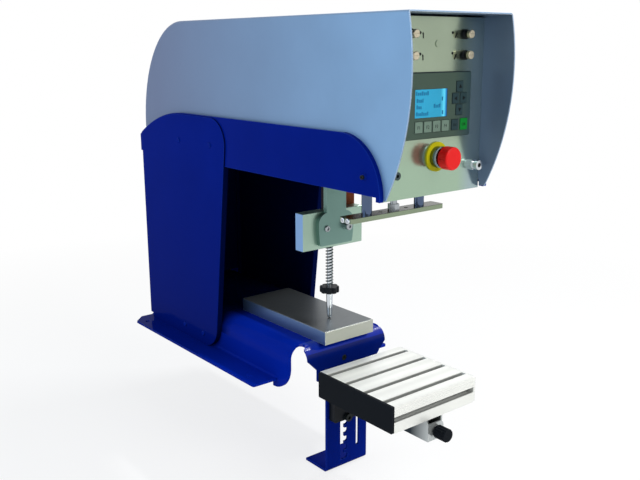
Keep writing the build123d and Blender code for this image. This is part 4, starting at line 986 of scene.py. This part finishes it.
def socket_screw(mesh, place, radius, height):
    """A socket head that stands on the place, its radius and height in millimetres."""
    head = bmesh.new()
    bmesh.ops.create_cone(head, cap_ends=True, segments=head_sides, radius1=radius / 1000,
                          radius2=radius / 1000, depth=height / 1000,
                          matrix=Matrix.Translation((0.0, 0.0, height / 2000)))
    bmesh.ops.bevel(head, geom=list(top_face_of(head).edges),
                    offset=radius * rounded_share / 1000, offset_type="OFFSET",
                    affect="EDGES", segments=2, profile=0.5, material=-1)
    top = top_face_of(head)
    bmesh.ops.inset_individual(head, faces=[top], thickness=radius * wall_share / 1000)
    moved = bmesh.ops.extrude_discrete_faces(head, faces=[top])["faces"]
    bmesh.ops.translate(head, verts=moved[0].verts,
                        vec=(0.0, 0.0, -height * recess_share / 1000))
    bmesh.ops.transform(head, matrix=place, verts=head.verts)
    join(mesh, head)


# %% [markdown]
# Two black screws hold the side arms at the machine's nose, one on each side, and a third
# stands in the hole in the base's front. A screw on a side is turned by a quarter turn, so
# that its head points outward. Each is let in a little, so that it doesn't float.

# %% Black screws at the nose and in the base's front
black_oxide = finish("black_oxide", (0.010, 0.013, 0.013), 0.2, 0.35, gloss=0.15)
dress(black_oxide, "carrier_screws")

left_side = Matrix.Rotation(-pi / 2, 4, "Y")
right_side = Matrix.Rotation(pi / 2, 4, "Y")
nose_y, nose_z = -0.417, 0.352
nose_let_in = 0.0030
nose_head = (3.0, 3.4)
side_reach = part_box("body_screws")[1].x
mesh = bmesh.new()
for side, turned in ((-1.0, left_side), (1.0, right_side)):
    place = Matrix.Translation((side * (side_reach - nose_let_in), nose_y, nose_z))
    socket_screw(mesh, place @ turned, *nose_head)
piece("nose_screw_caps", mesh, black_oxide, "frame")

apron_x, apron_z = -8.0, 35.0
apron_let_in = 2.6
apron_head = (4.8, 2.4)
apron_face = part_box("base_sheet")[0].y * 1000
place = facing_front(apron_x, apron_face + apron_let_in, apron_z)
mesh = bmesh.new()
socket_screw(mesh, place, *apron_head)
piece("apron_screw", mesh, black_oxide, "frame")

# %% [markdown]
# ## Tongues of the rear panel
# The base's long edges are bent down, so at its two rear corners the straight lower edge of
# the rear panel leaves a small wedge open. A tongue of the same sheet closes each one. It is
# a block whose lower outer corner is bevelled round.

# %% Tongues
tongue_width = 0.0215
tongue_height = 0.022
tongue_lap = 0.0015
tongue_gap = 0.0004
tongue_round = 0.009
corner_reach = 0.001

panel_low, panel_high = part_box("rear_panel")
tongue_size = Matrix.Diagonal((tongue_width, panel_high.y - panel_low.y - tongue_gap,
                               tongue_height, 1.0))
mesh = bmesh.new()
for side in (-1.0, 1.0):
    middle = Matrix.Translation((side * (panel_high.x - tongue_width / 2),
                                 (panel_low.y + panel_high.y) / 2,
                                 panel_low.z + tongue_lap - tongue_height / 2))
    tongue = bmesh.new()
    bmesh.ops.create_cube(tongue, size=1.0, matrix=middle @ tongue_size)
    corner = [edge for edge in tongue.edges
              if all(side * vert.co.x > panel_high.x - corner_reach
                     and vert.co.z < panel_low.z - tongue_lap for vert in edge.verts)]
    bmesh.ops.bevel(tongue, geom=corner, offset=tongue_round, offset_type="OFFSET",
                    affect="EDGES", segments=6, profile=0.5, material=-1)
    join(mesh, tongue)
piece("rear_tongues", mesh, blue_enamel, "frame")

# %% [markdown]
# ## The spring
# When the cup spindle lifts, its spring is pressed together between the ring nut and the
# block. The CAD spring is rigid, so this wire stands for it: a circle of 8 points, spun up
# the spindle with a small rise at each step.
# The circle first leans by the slope of the coil, so that the wire stays round.

# %% The spring's measures
spring_low, spring_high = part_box("cup_spring")
wire_radius = 0.0009
wire_sides = 8
spring_turns = 13
steps_a_turn = 24

spring_middle = (spring_low + spring_high) / 2
coil_radius = (spring_high.x - spring_low.x) / 2 - wire_radius
coil_height = spring_high.z - spring_low.z - 2 * wire_radius
spring_steps = spring_turns * steps_a_turn
slope = atan2(coil_height / spring_turns, 2 * pi * coil_radius)
print("coil radius", round(coil_radius, 5), "height", round(coil_height, 5))

# %% The spring's wire
foot = Matrix.Translation((spring_middle.x + coil_radius, spring_middle.y,
                           spring_low.z + wire_radius))
lean = Matrix.Rotation(slope, 4, "X") @ Matrix.Rotation(pi / 2, 4, "X")
mesh = bmesh.new()
bmesh.ops.create_circle(mesh, segments=wire_sides, radius=wire_radius, matrix=foot @ lean)
bmesh.ops.spin(mesh, geom=mesh.verts[:] + mesh.edges[:], cent=spring_middle,
               axis=(0.0, 0.0, 1.0), dvec=(0.0, 0.0, coil_height / spring_steps),
               angle=2 * pi * spring_turns, steps=spring_steps)
ends = [edge for edge in mesh.edges if len(edge.link_faces) == 1]
bmesh.ops.holes_fill(mesh, edges=ends, sides=wire_sides)
for face in mesh.faces:
    face.smooth = len(face.verts) == 4
print("wire faces", len(mesh.faces))

# %% [markdown]
# The joint that lifts the spindle has a range, and the real spring loses just that much of
# its length; this wire keeps its full length. It rides on the carriage, and the CAD spring is
# hidden, because this one takes its place.

# %% The wound spring
dark_steel = finish("dark_steel", (0.075, 0.095, 0.10), 0.9, 0.28)
spring = piece("wound_spring", mesh, dark_steel, "carriage")
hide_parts("cup_spring")
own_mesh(spring)

# %% [markdown]
# ## Studs
# Two chromed studs stand out of the pad plate's left end, one behind the other. They are
# the socket screws again, turned to the left. They ride on the pad's body, because the
# plate goes down with it.

# %% Studs at the end of the pad plate
studs_from_front = (0.0065, 0.0165)
stud_head = (3.6, 3.0)
plate_low, plate_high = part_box("pad_plate")
mesh = bmesh.new()
for back in studs_from_front:
    place = Matrix.Translation((plate_low.x, plate_low.y + back,
                                (plate_low.z + plate_high.z) / 2))
    socket_screw(mesh, place @ left_side, *stud_head)
piece("pad_plate_studs", mesh, bright_chrome, "pad")
